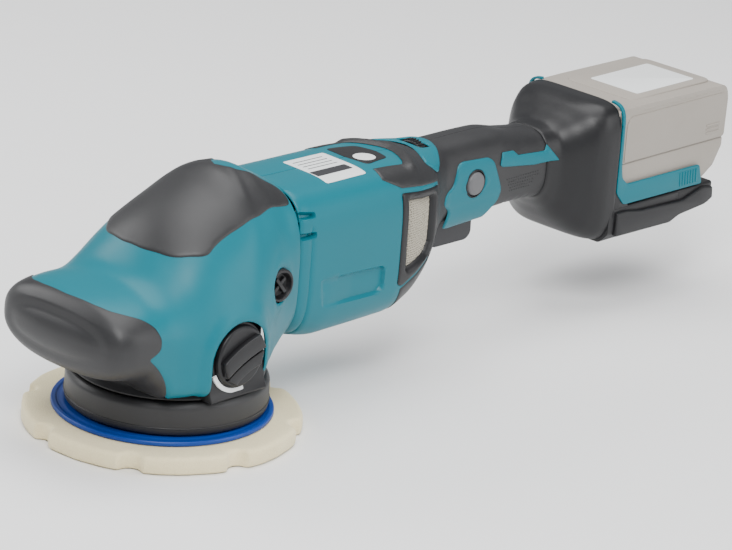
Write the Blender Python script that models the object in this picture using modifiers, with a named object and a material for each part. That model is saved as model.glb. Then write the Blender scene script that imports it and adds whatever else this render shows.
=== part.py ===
"""Dual action polisher: a right-angle gear head over an orbiting pad, a motor body,
a rubber handle and a slide-on battery. Lengths below are in millimetres and become
metres when a mesh is made. The origin is the centre of the foam pad's working face,
+Z is up and +X runs along the tool towards the battery."""
import bpy
import bmesh
from math import copysign, cos, pi, radians, sin
from mathutils import Matrix, Vector

MM = 0.001
GAP = 0.3                      # clearance between neighbouring pieces
WELD_DISTANCE = 0.00003        # in metres

# Pad and orbit
PAD_RADIUS = 79.0
PAD_THICKNESS = 10.0
NOTCH_COUNT = 8
NOTCH_RADIUS = 7.5
NOTCH_CENTRE = 83.0
NOTCH_FIRST_ANGLE = 33.2
BACKING_RADIUS = 62.5
ORBIT_OFFSET = 2.75            # spindle axis behind the pad's axis at rest
BOLT_RECESS = 9.0

# Head
SKIRT_RADIUS = 57.3
SKIRT_LOW = 13.8
SKIRT_TOP = 33.0
BARREL_RADIUS = 50.5
BARREL_TOP = 75.0
RING_TOP = 42.5                # the drive ring that the mode knob moves
KNOB_X = 0.0
KNOB_Z = 57.0
KNOB_RADIUS = 18.0
KNOB_FACE = 60.0
SHELL = 3.0
OPEN_LOW = 17.0                # the hollow runs out below the cover's lower edge
NOSE_ARC_X = -8.6             # the grip's rear edge seen from above
NOSE_ARC_RADIUS = 63.4
SOCKET_X = 41.0
SOCKET_Z = 86.0
SOCKET_RADIUS = 9.5

# Drive line
MOTOR_Z = 86.0
SPINDLE_RADIUS = 6.0
GEAR_TEETH = 41
PINION_TEETH = 13
GEAR_RADIUS = 27.0
TOOTH_DEPTH = 1.4

# Body, handle and battery end
HEAD_END = 62.0
BODY_START = 62.6
HANDLE_START = 186.0
HANDLE_END = 296.0
RIM_X = 342.0
SKIN = 2.5                     # housing wall
GRIP = 3.0                     # rubber wall
WINDOW_X = (145.0, 182.0)
WINDOW_Z = (60.0, 116.0)
DIAL_X = 195.0
DIAL_RADIUS = 12.0
TRIGGER_PIVOT = (209.0, 86.0)
LOCK_AT = (230.0, 102.0)
LOCK_RADIUS = 7.4
TRAY_END = 438.0
TRAY_TOP = 69.0
HOLDER_HALF = 38.3
BATTERY_START = 336.5
BATTERY_END = 447.5
BATTERY_HALF = 36.5
BATTERY_LOW = 70.0
BATTERY_TOP = 131.0
BATTERY_SPLIT = 96.0

# Points round each section
HEAD_POINTS = 22
BODY_POINTS = 20

# Sections of the head along X: x, half width, lowest, widest and highest z,
# and how square the upper and lower halves are
HEAD = [
    (-86.0, 33, 62, 72, 82, 2.4, 2.4),
    (-84.0, 41, 56, 72, 88, 2.5, 2.5),
    (-78.5, 47, 51, 72, 93, 2.6, 2.6),
    (-70.0, 50, 48.5, 71, 95.5, 2.6, 2.7),
    (-60.0, 51, 47.5, 70, 98, 2.5, 3),
    (-50.0, 51.5, 43, 68, 100.5, 2.3, 5),
    (-43.0, 52, 37, 66, 104, 2.2, 8),
    (-31.0, 54.5, 37, 63, 116, 2.1, 10),
    (-20.0, 57, 37, 62, 126, 2.1, 10),
    (-8.0, 58.5, 37, 62, 133, 2.1, 10),
    (10.0, 58, 37, 64, 140.5, 2.1, 10),
    (28.0, 53, 40, 70, 147.6, 2.1, 9),
    (40.0, 47, 44, 76, 145.5, 2.2, 8),
    (51.0, 43, 46, 84, 140.5, 2.3, 6),
    (62.0, 40.5, 47, 90, 134.5, 2.8, 4),
]

# Sections of the body from the head's seam to the battery holder's rim
BODY = [
    (62.6, 39.5, 46, 88, 133, 3.6, 3.4),
    (70.0, 40, 42, 87, 132, 4, 3.6),
    (90.0, 40, 38.5, 86, 131.5, 4, 4),
    (144.0, 40, 39, 86, 130.5, 4, 4),
    (160.0, 39.5, 43.5, 87, 129.5, 4, 3.6),
    (174.0, 36.5, 51, 90, 128.5, 3.6, 3.2),
    (186.0, 31, 61, 94, 128, 3.2, 3),
    (196.0, 25, 70, 97, 127.5, 3, 2.8),
    (208.0, 20.5, 76, 101, 127.5, 2.8, 2.8),
    (230.0, 20, 77, 102, 127.5, 2.8, 2.8),
    (254.0, 20, 77.5, 102, 127, 2.8, 2.8),
    (275.0, 19.5, 78, 100, 123, 2.8, 2.8),
    (296.0, 19.5, 77, 99, 120.5, 2.8, 2.8),
    (306.0, 21.5, 69, 98, 121, 2.8, 2.8),
    (316.0, 27.5, 60, 97, 125, 3, 3),
    (325.0, 34, 53, 95, 130.5, 3.6, 3.6),
    (333.0, 37.5, 48.5, 92, 134, 4.5, 4.5),
    (342.0, HOLDER_HALF, 46, 90, 135, 6, 6),
]

# The head cap's outline from above, for the side with negative y
CAP_EDGE = [(-40, 0), (-34, -14), (-22, -25), (-6, -33), (3, -33), (11, -29), (20, -28),
            (58, -32), (54, -18), (44, -8), (34, 0)]

COLOURS = {
    "teal": ((0.0, 0.27, 0.36), 0.38, 0.0),
    "black_plastic": ((0.028, 0.028, 0.031), 0.5, 0.0),
    "black_rubber": ((0.035, 0.035, 0.038), 0.72, 0.0),
    "blue_plastic": ((0.005, 0.07, 0.35), 0.4, 0.0),
    "foam": ((0.83, 0.79, 0.64), 0.95, 0.0),
    "steel": ((0.55, 0.55, 0.57), 0.32, 1.0),
    "alloy": ((0.62, 0.63, 0.64), 0.45, 1.0),
    "copper": ((0.6, 0.27, 0.12), 0.4, 1.0),
    "mesh_grey": ((0.48, 0.46, 0.43), 0.6, 0.0),
    "plate_white": ((0.78, 0.78, 0.78), 0.45, 0.0),
    "dark_grey": ((0.07, 0.07, 0.075), 0.5, 0.0),
    "button_grey": ((0.2, 0.2, 0.21), 0.5, 0.0),
    "battery_grey": ((0.44, 0.42, 0.39), 0.5, 0.0),
    "cell_green": ((0.1, 0.25, 0.14), 0.5, 0.0),
}

materials = {}
parts = None
cutters = None


def start_scene():
    """Empty the scene and make the two collections."""
    global parts, cutters
    for item in list(bpy.data.objects):
        bpy.data.objects.remove(item)
    parts = bpy.data.collections.new("dual_action_polisher")
    cutters = bpy.data.collections.new("cutters")
    for group in (parts, cutters):
        bpy.context.scene.collection.children.link(group)
    for name, (colour, roughness, metallic) in COLOURS.items():
        finish = bpy.data.materials.new(name)
        finish.use_nodes = True
        shader = finish.node_tree.nodes["Principled BSDF"]
        shader.inputs["Base Color"].default_value = (*colour, 1.0)
        shader.inputs["Roughness"].default_value = roughness
        shader.inputs["Metallic"].default_value = metallic
        materials[name] = finish


def add(name, mesh, finish, at=(0, 0, 0), turn=(0, 0, 0)):
    """Make an object of a mesh: a part, or a cutter where finish is None."""
    item = bpy.data.objects.new(name, mesh)
    item.location = Vector(at) * MM
    item.rotation_euler = [radians(angle) for angle in turn]
    if finish is None:
        cutters.objects.link(item)
        item.hide_render = True
        item.display_type = "WIRE"
    else:
        parts.objects.link(item)
        mesh.materials.clear()
        mesh.materials.append(materials[finish])
    return item


def mesh_of(name, form, smooth=True):
    """Turn a bmesh in millimetres into a mesh in metres."""
    bmesh.ops.scale(form, vec=(MM, MM, MM), verts=form.verts)
    mesh = bpy.data.meshes.new(name)
    form.to_mesh(mesh)
    form.free()
    if smooth:
        mesh.shade_smooth()
        mesh.set_sharp_from_angle(angle=radians(35))
    return mesh


def box(name, low, high, finish=None, bevel=0.0):
    """A box between two corners, placed by its centre."""
    size = [b - a for a, b in zip(low, high)]
    middle = [(a + b) / 2 for a, b in zip(low, high)]
    form = bmesh.new()
    bmesh.ops.create_cube(form, size=1.0)
    bmesh.ops.scale(form, vec=size, verts=form.verts)
    item = add(name, mesh_of(name, form, smooth=False), finish, middle)
    if bevel:
        edge = item.modifiers.new("rounded", "BEVEL")
        edge.width = bevel * MM
        edge.segments = 2
    return item


def turned(name, profile, finish=None, at=(0, 0, 0), axis="Z", steps=24, closed=False):
    """Turn a profile of (radius, height) points, listed down the outer side."""
    form = bmesh.new()
    points = [form.verts.new((radius, 0, height)) for radius, height in profile]
    for first, second in zip(points, points[1:]):
        form.edges.new((first, second))
    if closed:
        form.edges.new((points[-1], points[0]))
    turn = {"Z": (0, 0, 0), "X": (0, 90, 0), "Y": (-90, 0, 0)}[axis]
    item = add(name, mesh_of(name, form, smooth=False), finish, at, turn)
    screw = item.modifiers.new("turned", "SCREW")
    screw.axis = "Z"
    screw.steps = steps
    screw.render_steps = steps
    screw.use_smooth_shade = True
    screw.use_merge_vertices = True
    screw.merge_threshold = 0.00001
    return item


def ring(name, inner, outer, low, high, finish=None, at=(0, 0, 0), axis="Z", steps=24):
    """A plain ring or bush."""
    profile = [(outer, high), (outer, low), (inner, low), (inner, high)]
    return turned(name, profile, finish, at, axis, steps, closed=True)


def disc(name, radius, low, high, finish=None, at=(0, 0, 0), axis="Z", steps=24):
    """A plain solid cylinder, turned so that it closes on its axis."""
    profile = [(0, high), (radius, high), (radius, low), (0, low)]
    return turned(name, profile, finish, at, axis, steps)


def plate(name, outline, thickness, finish=None, at=(0, 0, 0), turn=(0, 0, 0)):
    """A flat outline given thickness, made from a filled curve and kept as a mesh."""
    curve = bpy.data.curves.new(name, "CURVE")
    curve.dimensions = "2D"
    curve.fill_mode = "BOTH"
    curve.extrude = thickness / 2 * MM
    line = curve.splines.new("POLY")
    line.points.add(len(outline) - 1)
    for point, (across, up) in zip(line.points, outline):
        point.co = (across * MM, up * MM, 0, 1)
    line.use_cyclic_u = True
    guide = bpy.data.objects.new(name + "_outline", curve)
    bpy.context.scene.collection.objects.link(guide)
    shape = guide.evaluated_get(bpy.context.evaluated_depsgraph_get())
    mesh = bpy.data.meshes.new_from_object(shape)
    bpy.data.objects.remove(guide)
    form = bmesh.new()
    form.from_mesh(mesh)
    bmesh.ops.remove_doubles(form, verts=form.verts, dist=0.00001)
    bmesh.ops.dissolve_limit(form, angle_limit=radians(1), verts=form.verts, edges=form.edges)
    bmesh.ops.recalc_face_normals(form, faces=form.faces)
    form.to_mesh(mesh)
    form.free()
    return add(name, mesh, finish, at, turn)


def side_plate(name, outline, thickness, y, finish=None):
    """A plate standing in the XZ plane, centred on y."""
    return plate(name, outline, thickness, finish, (0, y, 0), (90, 0, 0))


def section(station, inset, count):
    """One closed section: a squared oval with its own upper and lower halves."""
    x, half, low, middle, high, power_up, power_down = station
    half -= inset
    low += inset
    high -= inset
    points = []
    for index in range(count):
        angle = 2 * pi * index / count
        power = power_up if sin(angle) >= 0 else power_down
        reach = high - middle if sin(angle) >= 0 else middle - low
        across = half * copysign(abs(cos(angle)) ** (2 / power), cos(angle))
        up = middle + reach * copysign(abs(sin(angle)) ** (2 / power), sin(angle))
        points.append((x, across, up))
    return points


def bridged(name, rings, finish=None, loop=False):
    """A body made by bridging rings of equally many points."""
    form = bmesh.new()
    rows = [[form.verts.new(point) for point in points] for points in rings]
    pairs = list(zip(rows, rows[1:]))
    if loop:
        pairs.append((rows[-1], rows[0]))
    for row, following in pairs:
        for index in range(len(row)):
            after = (index + 1) % len(row)
            form.faces.new((row[index], row[after], following[after], following[index]))
    if not loop:
        form.faces.new(rows[0])
        form.faces.new(rows[-1])
    bmesh.ops.recalc_face_normals(form, faces=form.faces)
    bmesh.ops.triangulate(form, faces=[face for face in form.faces if len(face.verts) == 4])
    return add(name, mesh_of(name, form), finish)


def lofted(name, stations, inset=0.0, finish=None, count=BODY_POINTS):
    """A body lofted through stations, drawn in by inset."""
    return bridged(name, [section(station, inset, count) for station in stations], finish)


def between(stations, start, end):
    """The stations from start to end, with new ones worked out at both ends."""
    def at(x):
        for first, second in zip(stations, stations[1:]):
            if first[0] <= x <= second[0]:
                share = (x - first[0]) / (second[0] - first[0])
                return tuple(a + (b - a) * share for a, b in zip(first, second))
        raise ValueError("no station at %s" % x)
    inner = [station for station in stations if start < station[0] < end]
    return [at(start)] + inner + [at(end)]


def moved(station, x):
    """The same section at another x."""
    return (x,) + tuple(station[1:])


def boolean(item, cutter, operation="DIFFERENCE"):
    """Cut, join or intersect a part with another object."""
    change = item.modifiers.new(cutter.name, "BOOLEAN")
    change.operation = operation
    change.solver = "EXACT"
    change.object = cutter
    return item


def skin_between(name, start, end, outer_inset, inner_inset, finish):
    """A tube-like stretch of the body's skin, open at both ends."""
    run = between(BODY, start, end)
    shell = lofted(name, run, outer_inset, finish)
    hollow = [moved(run[0], start - 2)] + run + [moved(run[-1], end + 2)]
    return boolean(shell, lofted(name + "_hollow", hollow, inner_inset))


def joint_frame(name, at, items):
    """An empty on a joint's axis, with the moving pieces under it."""
    frame = bpy.data.objects.new(name, None)
    frame.location = Vector(at) * MM
    frame.empty_display_size = 0.01
    parts.objects.link(frame)
    for item in items:
        item.parent = frame
        item.matrix_parent_inverse = Matrix.Translation(-frame.location)
    return frame


def toothed(name, rows, teeth, finish, centre, axis):
    """A bevel gear: rows are (radius, along, tooth depth) from the bore round."""
    rings = []
    for radius, along, depth in rows:
        points = []
        for index in range(2 * teeth):
            angle = pi * index / teeth
            reach = radius if axis == "Z" else radius - depth * (index % 2)
            height = along - depth * (index % 2) if axis == "Z" else along
            first, second = reach * cos(angle), reach * sin(angle)
            if axis == "Z":
                points.append((centre[0] + first, centre[1] + second, height))
            else:
                points.append((height, centre[1] + first, centre[2] + second))
        rings.append(points)
    return bridged(name, rings, finish, loop=True)


def make_pad():
    """Foam pad, backing pad, its bolt and the shaft it hangs on."""
    top = PAD_THICKNESS
    radius = PAD_RADIUS
    foam = turned("foam_pad", [(0, top), (radius - 2.5, top), (radius - 0.5, top - 1.5), (radius, top - 3.5),
                               (radius, 1.5), (radius - 1.5, 0), (0, 0)], "foam", steps=36)
    for index in range(NOTCH_COUNT):
        angle = radians(NOTCH_FIRST_ANGLE + 360 / NOTCH_COUNT * index)
        at = (NOTCH_CENTRE * cos(angle), NOTCH_CENTRE * sin(angle), 0)
        notch = disc("notch_%d" % (index + 1), NOTCH_RADIUS, -1, top + 1, None, at, steps=12)
        boolean(foam, notch)
    low = top + GAP
    backing = turned("backing_pad", [(4.5, 20), (18, 20), (22, 14.5), (50, 13), (BACKING_RADIUS - 1, 12.7),
                                     (BACKING_RADIUS, 12), (BACKING_RADIUS, low), (BOLT_RECESS, low),
                                     (BOLT_RECESS, 16), (4.5, 16)], "blue_plastic", steps=32, closed=True)
    bolt = turned("pad_bolt", [(0, 31), (4, 31), (4, 15.7), (7, 15.7), (7, 11), (0, 11)], "steel", steps=16)
    shaft = turned("pad_shaft", [(0, 36), (7.7, 36), (7.7, 23), (11, 23), (11, 20.3), (4.3, 20.3), (4.3, 33),
                                 (0, 33)], "steel", steps=16)
    return [foam, backing, bolt, shaft]


def make_drive():
    """Eccentric hub, balance weight, spindle, bearing and large gear."""
    axis_at = (ORBIT_OFFSET, 0, 0)
    hub = disc("eccentric_hub", 22, 21, 40, "steel", axis_at)
    boolean(hub, disc("hub_bore", 16, 18, 36.5, None))
    weight = ring("counterweight", 22.3, 42, 26, 34, "steel", axis_at)
    boolean(weight, box("weight_half", (-60, -60, 20), (ORBIT_OFFSET - 6, 60, 40)))
    bearing = ring("pad_bearing", 8, 15.7, 24, 35, "steel", steps=20)
    spindle = turned("spindle", [(0, 104), (SPINDLE_RADIUS, 104), (SPINDLE_RADIUS, 44), (9, 44), (9, 40.3),
                                 (0, 40.3)], "steel", axis_at, steps=20)
    bore = SPINDLE_RADIUS + GAP
    cone_low = MOTOR_Z - GEAR_RADIUS / 3 - 0.6
    cone_high = MOTOR_Z - 21.0 / 3 - 0.6
    gear = toothed("driven_gear", [(bore, 70, 0), (GEAR_RADIUS, 70, 0), (GEAR_RADIUS, cone_low, TOOTH_DEPTH),
                                   (21, cone_high, TOOTH_DEPTH), (bore, cone_high, 0)],
                   GEAR_TEETH, "steel", (ORBIT_OFFSET, 0), "Z")
    return [hub, weight, bearing, spindle, gear]


def make_gear_case():
    """The alloy case, its cover and the two spindle bearings."""
    axis_at = (ORBIT_OFFSET, 0, 0)
    ring("lower_bearing", SPINDLE_RADIUS + GAP, 14, 50, 58, "steel", axis_at, steps=20)
    ring("upper_bearing", SPINDLE_RADIUS + GAP, 12, 98, 104, "steel", axis_at, steps=20)
    case = turned("gear_case", [(33, 96), (33, 53), (48, 53), (48, 50), (33, 50), (33, 46), (7.5, 46), (7.5, 49.5),
                                (14.3, 49.5), (14.3, 58), (18, 58), (18, 52), (30, 52), (30, 96)],
                  "alloy", axis_at, closed=True)
    boolean(case, box("flange_end", (36, -60, 49), (60, 60, 54)))
    snout = turned("snout", [(0, 60), (34, 60), (34, 57), (16.5, 57), (16.5, 32.1), (0, 32.1)],
                   None, (0, 0, MOTOR_Z), "X")
    boolean(case, snout, "UNION")
    boolean(case, box("cover_clearance", (30, -20, 95.9), (36.2, 20, 105)))
    boolean(case, turned("pinion_way", [(0, 62), (13.3, 62), (13.3, 43.6), (10.5, 43.6), (10.5, 10), (0, 10)],
                         None, (0, 0, MOTOR_Z), "X"))
    turned("gear_case_cover", [(0, 108), (20, 108), (33, 100), (33, 96.3), (12.3, 96.3), (12.3, 104.5),
                               (0, 104.5)], "alloy", axis_at, steps=24)


def make_motor():
    """Shaft, pinion, rotor, fan, bearings and stator on the motor's axis."""
    at = (0, 0, MOTOR_Z)
    shaft = turned("rotor_shaft", [(0, 146), (5, 146), (5, 40), (4, 40), (4, 20), (0, 20)], "steel", at, "X", 16)
    front, back = ORBIT_OFFSET + 21, ORBIT_OFFSET + GEAR_RADIUS
    pinion = toothed("pinion", [(4.3, front, 0), (6.6, front, 1.0), (8.6, back, 1.2), (4.3, back, 0)],
                     PINION_TEETH, "steel", at, "X")
    core = ring("rotor_core", 5.3, 17.8, 82, 123, "steel", at, "X", 24)
    fan = turned("fan", [(32, 65), (32, 63), (5.3, 63), (5.3, 73), (9, 73), (13, 65)], "dark_grey", at, "X", 32, True)
    for index in range(8):
        blade = box("fan_blade_%d" % (index + 1), (12, -0.8, 64), (30, 0.8, 71))
        blade.matrix_world = Matrix.Translation(Vector(at) * MM) @ Matrix.Rotation(pi / 2, 4, "Y") \
            @ Matrix.Rotation(2 * pi * index / 8, 4, "Z") @ Matrix.Translation(blade.location)
        boolean(fan, blade, "UNION")
    ring("front_motor_bearing", 5.3, 13, 45, 53, "steel", at, "X", 20)
    ring("rear_motor_bearing", 5.3, 11, 134, 141, "steel", at, "X", 20)
    ring("stator", 18.3, 31, 80, 125, "copper", at, "X", 28)
    return [shaft, pinion, core, fan]


def make_lower_head():
    """Skirt, the barrel round the mode knob, the sliding ring and the knob."""
    axis_at = (ORBIT_OFFSET, 0, 0)
    turned("skirt", [(49, SKIRT_TOP), (52, SKIRT_TOP), (SKIRT_RADIUS, SKIRT_TOP - 3), (SKIRT_RADIUS, SKIRT_LOW),
                     (SKIRT_RADIUS - 3, SKIRT_LOW), (SKIRT_RADIUS - 3, SKIRT_TOP - 4), (49, SKIRT_TOP - 3)],
           "black_rubber", axis_at, steps=32, closed=True)
    low = SKIRT_TOP + GAP
    barrel = turned("mode_housing", [(48.6, BARREL_TOP), (BARREL_RADIUS, BARREL_TOP), (BARREL_RADIUS, 40),
                                     (BARREL_RADIUS + 1.5, low), (48.6, low)],
                    "black_plastic", axis_at, steps=32, closed=True)
    knob_at = (KNOB_X, 0, KNOB_Z)
    boolean(barrel, disc("knob_boss", KNOB_RADIUS + 1.5, -55.5, -49, None, knob_at, "Y", 24), "UNION")
    boolean(barrel, box("barrel_end", (34, -60, RING_TOP + 0.1), (60, 60, 80)))
    boolean(barrel, disc("stem_bore", 5.4, -60, -45, None, knob_at, "Y", 16))
    ring_item = ring("mode_ring", 43.6, 47.6, RING_TOP - 6.5, RING_TOP, "black_plastic", axis_at, steps=28)
    stem = turned("mode_knob", [(0, -49.2), (5, -49.2), (5, -55.8), (KNOB_RADIUS, -55.8),
                                (KNOB_RADIUS, -58), (KNOB_RADIUS - 1, -59), (0, -59)],
                  "black_plastic", knob_at, "Y", 32)
    grip = box("knob_bar", (KNOB_X - 15.5, -61.5, KNOB_Z - 4), (KNOB_X + 15.5, -57, KNOB_Z + 4), None, 1.5)
    boolean(stem, grip, "UNION")
    return stem, ring_item


def make_head():
    """Teal cover, rubber cap, nose grip and the two side plugs."""
    def head_shell(name, finish):
        shell = lofted(name, HEAD, 0, finish, HEAD_POINTS)
        hollow = [moved(station, station[0] + SHELL) for station in HEAD[:2]]
        for station in HEAD[2:-1]:
            open_below = -45 < station[0] < 30
            hollow.append(station[:2] + (OPEN_LOW,) + station[3:] if open_below else station)
        hollow.append(moved(HEAD[-1], HEAD_END + 2))
        return boolean(shell, lofted(name + "_hollow", hollow, SHELL, None, HEAD_POINTS))

    def core(name, slack):
        """All of the head behind the nose grip: curved above, straight below."""
        radius = NOSE_ARC_RADIUS - slack
        line = [(80, -80), (80, 80)]
        for index in range(21):
            angle = radians(100 + 8 * index)
            line.append((NOSE_ARC_X + radius * cos(angle), radius * sin(angle)))
        upper = plate(name, line, 113, None, (0, 0, 57 + 56.5))
        lower = box(name + "_low", (-44 + slack, -90, 20), (85, 90, 62))
        return boolean(upper, lower, "UNION")

    nose = head_shell("nose_grip", "black_rubber")
    boolean(nose, core("nose_end", 0))
    cover = head_shell("head_cover", "teal")
    boolean(cover, core("cover_front", GAP), "INTERSECT")
    arch = side_plate("knob_arch", arch_outline(21.0), 40, -60)
    boolean(cover, arch)
    for side, sign in (("left", -1), ("right", 1)):
        socket = disc("side_socket_" + side, SOCKET_RADIUS + GAP, sign * 30, sign * 60, None,
                      (SOCKET_X, 0, SOCKET_Z), "Y", 24)
        flip(socket, sign)
        boolean(cover, socket)
    cap_line = CAP_EDGE + [(x, -y) for x, y in reversed(CAP_EDGE[1:-1])]
    cap = head_shell("head_cap", "black_rubber")
    boolean(cap, plate("cap_region", cap_line, 80, None, (0, 0, 140)), "INTERSECT")
    boolean(cover, plate("cap_recess", widened(cap_line, GAP), 80, None, (0, 0, 140)))
    for side, sign in (("left", -1), ("right", 1)):
        plug = disc("side_plug_" + side, SOCKET_RADIUS, sign * 38.5, sign * 43.5, "black_plastic",
                    (SOCKET_X, 0, SOCKET_Z), "Y", 24)
        flip(plug, sign)
        slot = box("plug_slot_" + side, (SOCKET_X - 6.5, sign * 44 - 1.8, SOCKET_Z - 1.2),
                   (SOCKET_X + 6.5, sign * 44 + 1.8, SOCKET_Z + 1.2))
        boolean(plug, slot)


def flip(item, sign):
    """A turned piece whose heights run downwards has its points put in order."""
    if sign > 0:
        return
    for vertex in item.data.vertices:
        vertex.co.z = -vertex.co.z
    item.rotation_euler.x += pi


def widened(outline, gap):
    """The outline moved outwards by a gap, corner by corner; it runs anticlockwise."""
    result = []
    for index, point in enumerate(outline):
        here = Vector(point)
        before = (here - Vector(outline[index - 1])).normalized()
        after = (Vector(outline[(index + 1) % len(outline)]) - here).normalized()
        normal = Vector((before.y + after.y, -before.x - after.x)).normalized()
        reach = gap / max(0.5, normal.dot(Vector((before.y, -before.x))))
        result.append((here.x + normal.x * reach, here.y + normal.y * reach))
    return result


def arch_outline(radius):
    """The knob opening: straight sides from below, and a round top."""
    points = [(KNOB_X - radius, 20), (KNOB_X + radius, 20)]
    for index in range(13):
        angle = pi * index / 12
        points.append((KNOB_X + radius * cos(angle), KNOB_Z - 1 + radius * sin(angle)))
    return points


def make_housing():
    """Clamshell halves with their dust covers, filters, plates, dial and electronics."""
    outer = between(BODY, BODY_START, HANDLE_START)
    neck = [station for station in between(BODY, HANDLE_START, HANDLE_END - 3)]
    inner = [moved(outer[0], BODY_START - 1)] + outer[1:] + neck[1:-1] + [moved(neck[-1], HANDLE_END)]
    for side, sign in (("left", -1), ("right", 1)):
        name = "motor_housing_" + side
        rings = [section(station, 0, BODY_POINTS) for station in outer]
        rings += [section(moved(station, station[0] + 0.05 * (index == 0)), GRIP + GAP, BODY_POINTS)
                  for index, station in enumerate(neck)]
        shell = bridged(name, rings, "teal")
        hollow = [section(station, SKIN, BODY_POINTS) for station in inner if station[0] < HANDLE_START - 4]
        hollow += [section(station, GRIP + GAP + SKIN, BODY_POINTS) for station in inner if station[0] >= HANDLE_START - 4]
        boolean(shell, bridged(name + "_hollow", hollow))
        half = box(name + "_half", (40, -GAP / 2, 0) if sign < 0 else (40, -90, 0),
                   (310, 90, 180) if sign < 0 else (310, GAP / 2, 180))
        boolean(shell, half)
        boolean(shell, box(name + "_window", (WINDOW_X[0], 14, WINDOW_Z[0]) if sign > 0
                           else (WINDOW_X[0], -60, WINDOW_Z[0]),
                           (WINDOW_X[1], 60, WINDOW_Z[1]) if sign > 0 else (WINDOW_X[1], -14, WINDOW_Z[1])))
        cut_handle(shell, name, sign)
        cover = skin_between("dust_cover_" + side, WINDOW_X[0] + GAP, WINDOW_X[1] - GAP, -0.4, 2.2, "black_plastic")
        pick_side(cover, sign, (WINDOW_X[0] - 5, 20, WINDOW_Z[0] + GAP), (WINDOW_X[1] + 5, 60, WINDOW_Z[1] - GAP))
        boolean(cover, box("grille_hole_" + side, (151, min(sign * 20, sign * 60), 72),
                           (171, max(sign * 20, sign * 60), 112)))
        mesh = skin_between("dust_filter_" + side, 151 + GAP, 171 - GAP, 0.8, 1.8, "mesh_grey")
        pick_side(mesh, sign, (140, 20, 72 + GAP), (190, 60, 112 - GAP))
    box("rating_plate", (105, -18, 131.9), (136, 18, 132.7), "plate_white", 0.3)
    box("indicator_panel", (142, -14, 131.0), (166, 14, 131.8), "black_plastic", 0.3)
    box("controller", (150, -23, 64), (178, 23, 108), "dark_grey", 2)
    bezel = box("dial_bezel", (187, -14, 128.9), (203, 14, 129.8), "teal", 0.3)
    boolean(bezel, box("dial_slot", (DIAL_X - 3.6, -6, 120), (DIAL_X + 3.6, 6, 135)))
    return disc("speed_dial", DIAL_RADIUS, -2.8, 2.8, "black_plastic", (DIAL_X, 0, 118.5), "X", 24)


def pick_side(item, sign, low, high):
    """Keep what lies in a box on one side; the box is given for positive y."""
    first, second = sign * low[1], sign * high[1]
    region = box(item.name + "_region", (low[0], min(first, second), low[2]), (high[0], max(first, second), high[2]))
    return boolean(item, region, "INTERSECT")


def cut_handle(item, name, sign):
    """Openings in one side of the handle for dial, trigger and lock button."""
    boolean(item, box(name + "_dial", (DIAL_X - 3.8, -12.8, 112), (DIAL_X + 3.8, 12.8, 140)))
    boolean(item, box(name + "_trigger", (203.5, -9.2, 40), (250, 9.2, 93)))
    if sign < 0:
        hole = box(name + "_lock", (LOCK_AT[0] - 8, -40, LOCK_AT[1] - 8), (LOCK_AT[0] + 8, -8, LOCK_AT[1] + 8))
        boolean(item, hole)


def make_handle():
    """Rubber halves, side inserts, strips, trigger, switch and lock button."""
    for side, sign in (("left", -1), ("right", 1)):
        grip = skin_between("grip_" + side, HANDLE_START + GAP, HANDLE_END, 0, GRIP, "black_rubber")
        cut_handle(grip, "grip_" + side, sign)
        pick_side(grip, sign, (180, 0.15, 0), (320, 90, 180))
        insert = skin_between("handle_insert_" + side, 204, 256, -1.2, -GAP, "teal")
        low_line = [(206, 96), (213, 78), (243, 79), (253, 90), (241, 116), (219, 117)]
        boolean(insert, side_plate("insert_line_" + side, low_line, 40, sign * 25), "INTERSECT")
        if sign < 0:
            boolean(insert, box("insert_lock_hole", (LOCK_AT[0] - 7.8, -40, LOCK_AT[1] - 7.8),
                                (LOCK_AT[0] + 7.8, -8, LOCK_AT[1] + 7.8)))
        strip = skin_between("grip_strip_" + side, 256, HANDLE_END - 1, -0.9, -GAP, "teal")
        arrow = [(257, 109), (295, 101.5), (292, 108), (285, 110.5), (283, 107.5), (268, 110.5), (266, 114),
                 (258, 115)]
        boolean(strip, side_plate("strip_line_" + side, arrow, 40, sign * 25), "INTERSECT")
    trigger = side_plate("trigger", [(206, 90), (206, 66), (211, 61.5), (240, 61.5), (244, 65), (243.5, 78),
                                     (238, 90)], 17, 0, "dark_grey")
    boolean(trigger, disc("pin_way", 1.9, -12, 12, None, (TRIGGER_PIVOT[0], 0, TRIGGER_PIVOT[1]), "Y", 12))
    disc("trigger_pin", 1.6, -9, 9, "steel", (TRIGGER_PIVOT[0], 0, TRIGGER_PIVOT[1]), "Y", 12)
    box("switch_body", (207, -8, 98.5), (247, 8, 112), "dark_grey", 1)
    make_spring()
    lock = disc("lock_button", LOCK_RADIUS, 11.8, 22.3, "button_grey", (LOCK_AT[0], 0, LOCK_AT[1]), "Y", 24)
    flip_to_left(lock)
    return trigger, lock


def flip_to_left(item):
    """Put a piece turned about +Y on the side with negative y."""
    item.rotation_euler.x += pi


def make_spring():
    """The trigger's return spring, between the trigger and the switch."""
    turns, per_turn, radius = 3, 10, 3.0
    low, high = 91.2, 97.2
    curve = bpy.data.curves.new("trigger_spring", "CURVE")
    curve.dimensions = "3D"
    curve.bevel_depth = 0.5 * MM
    curve.bevel_resolution = 1
    curve.use_fill_caps = True
    line = curve.splines.new("POLY")
    count = turns * per_turn
    line.points.add(count)
    for index, point in enumerate(line.points):
        angle = 2 * pi * index / per_turn
        height = low + (high - low) * index / count
        point.co = (radius * cos(angle) * MM, radius * sin(angle) * MM, height * MM, 1)
    item = bpy.data.objects.new("trigger_spring", curve)
    item.location = (232 * MM, 0, 0)
    curve.materials.append(materials["steel"])
    parts.objects.link(item)
    return item


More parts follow.
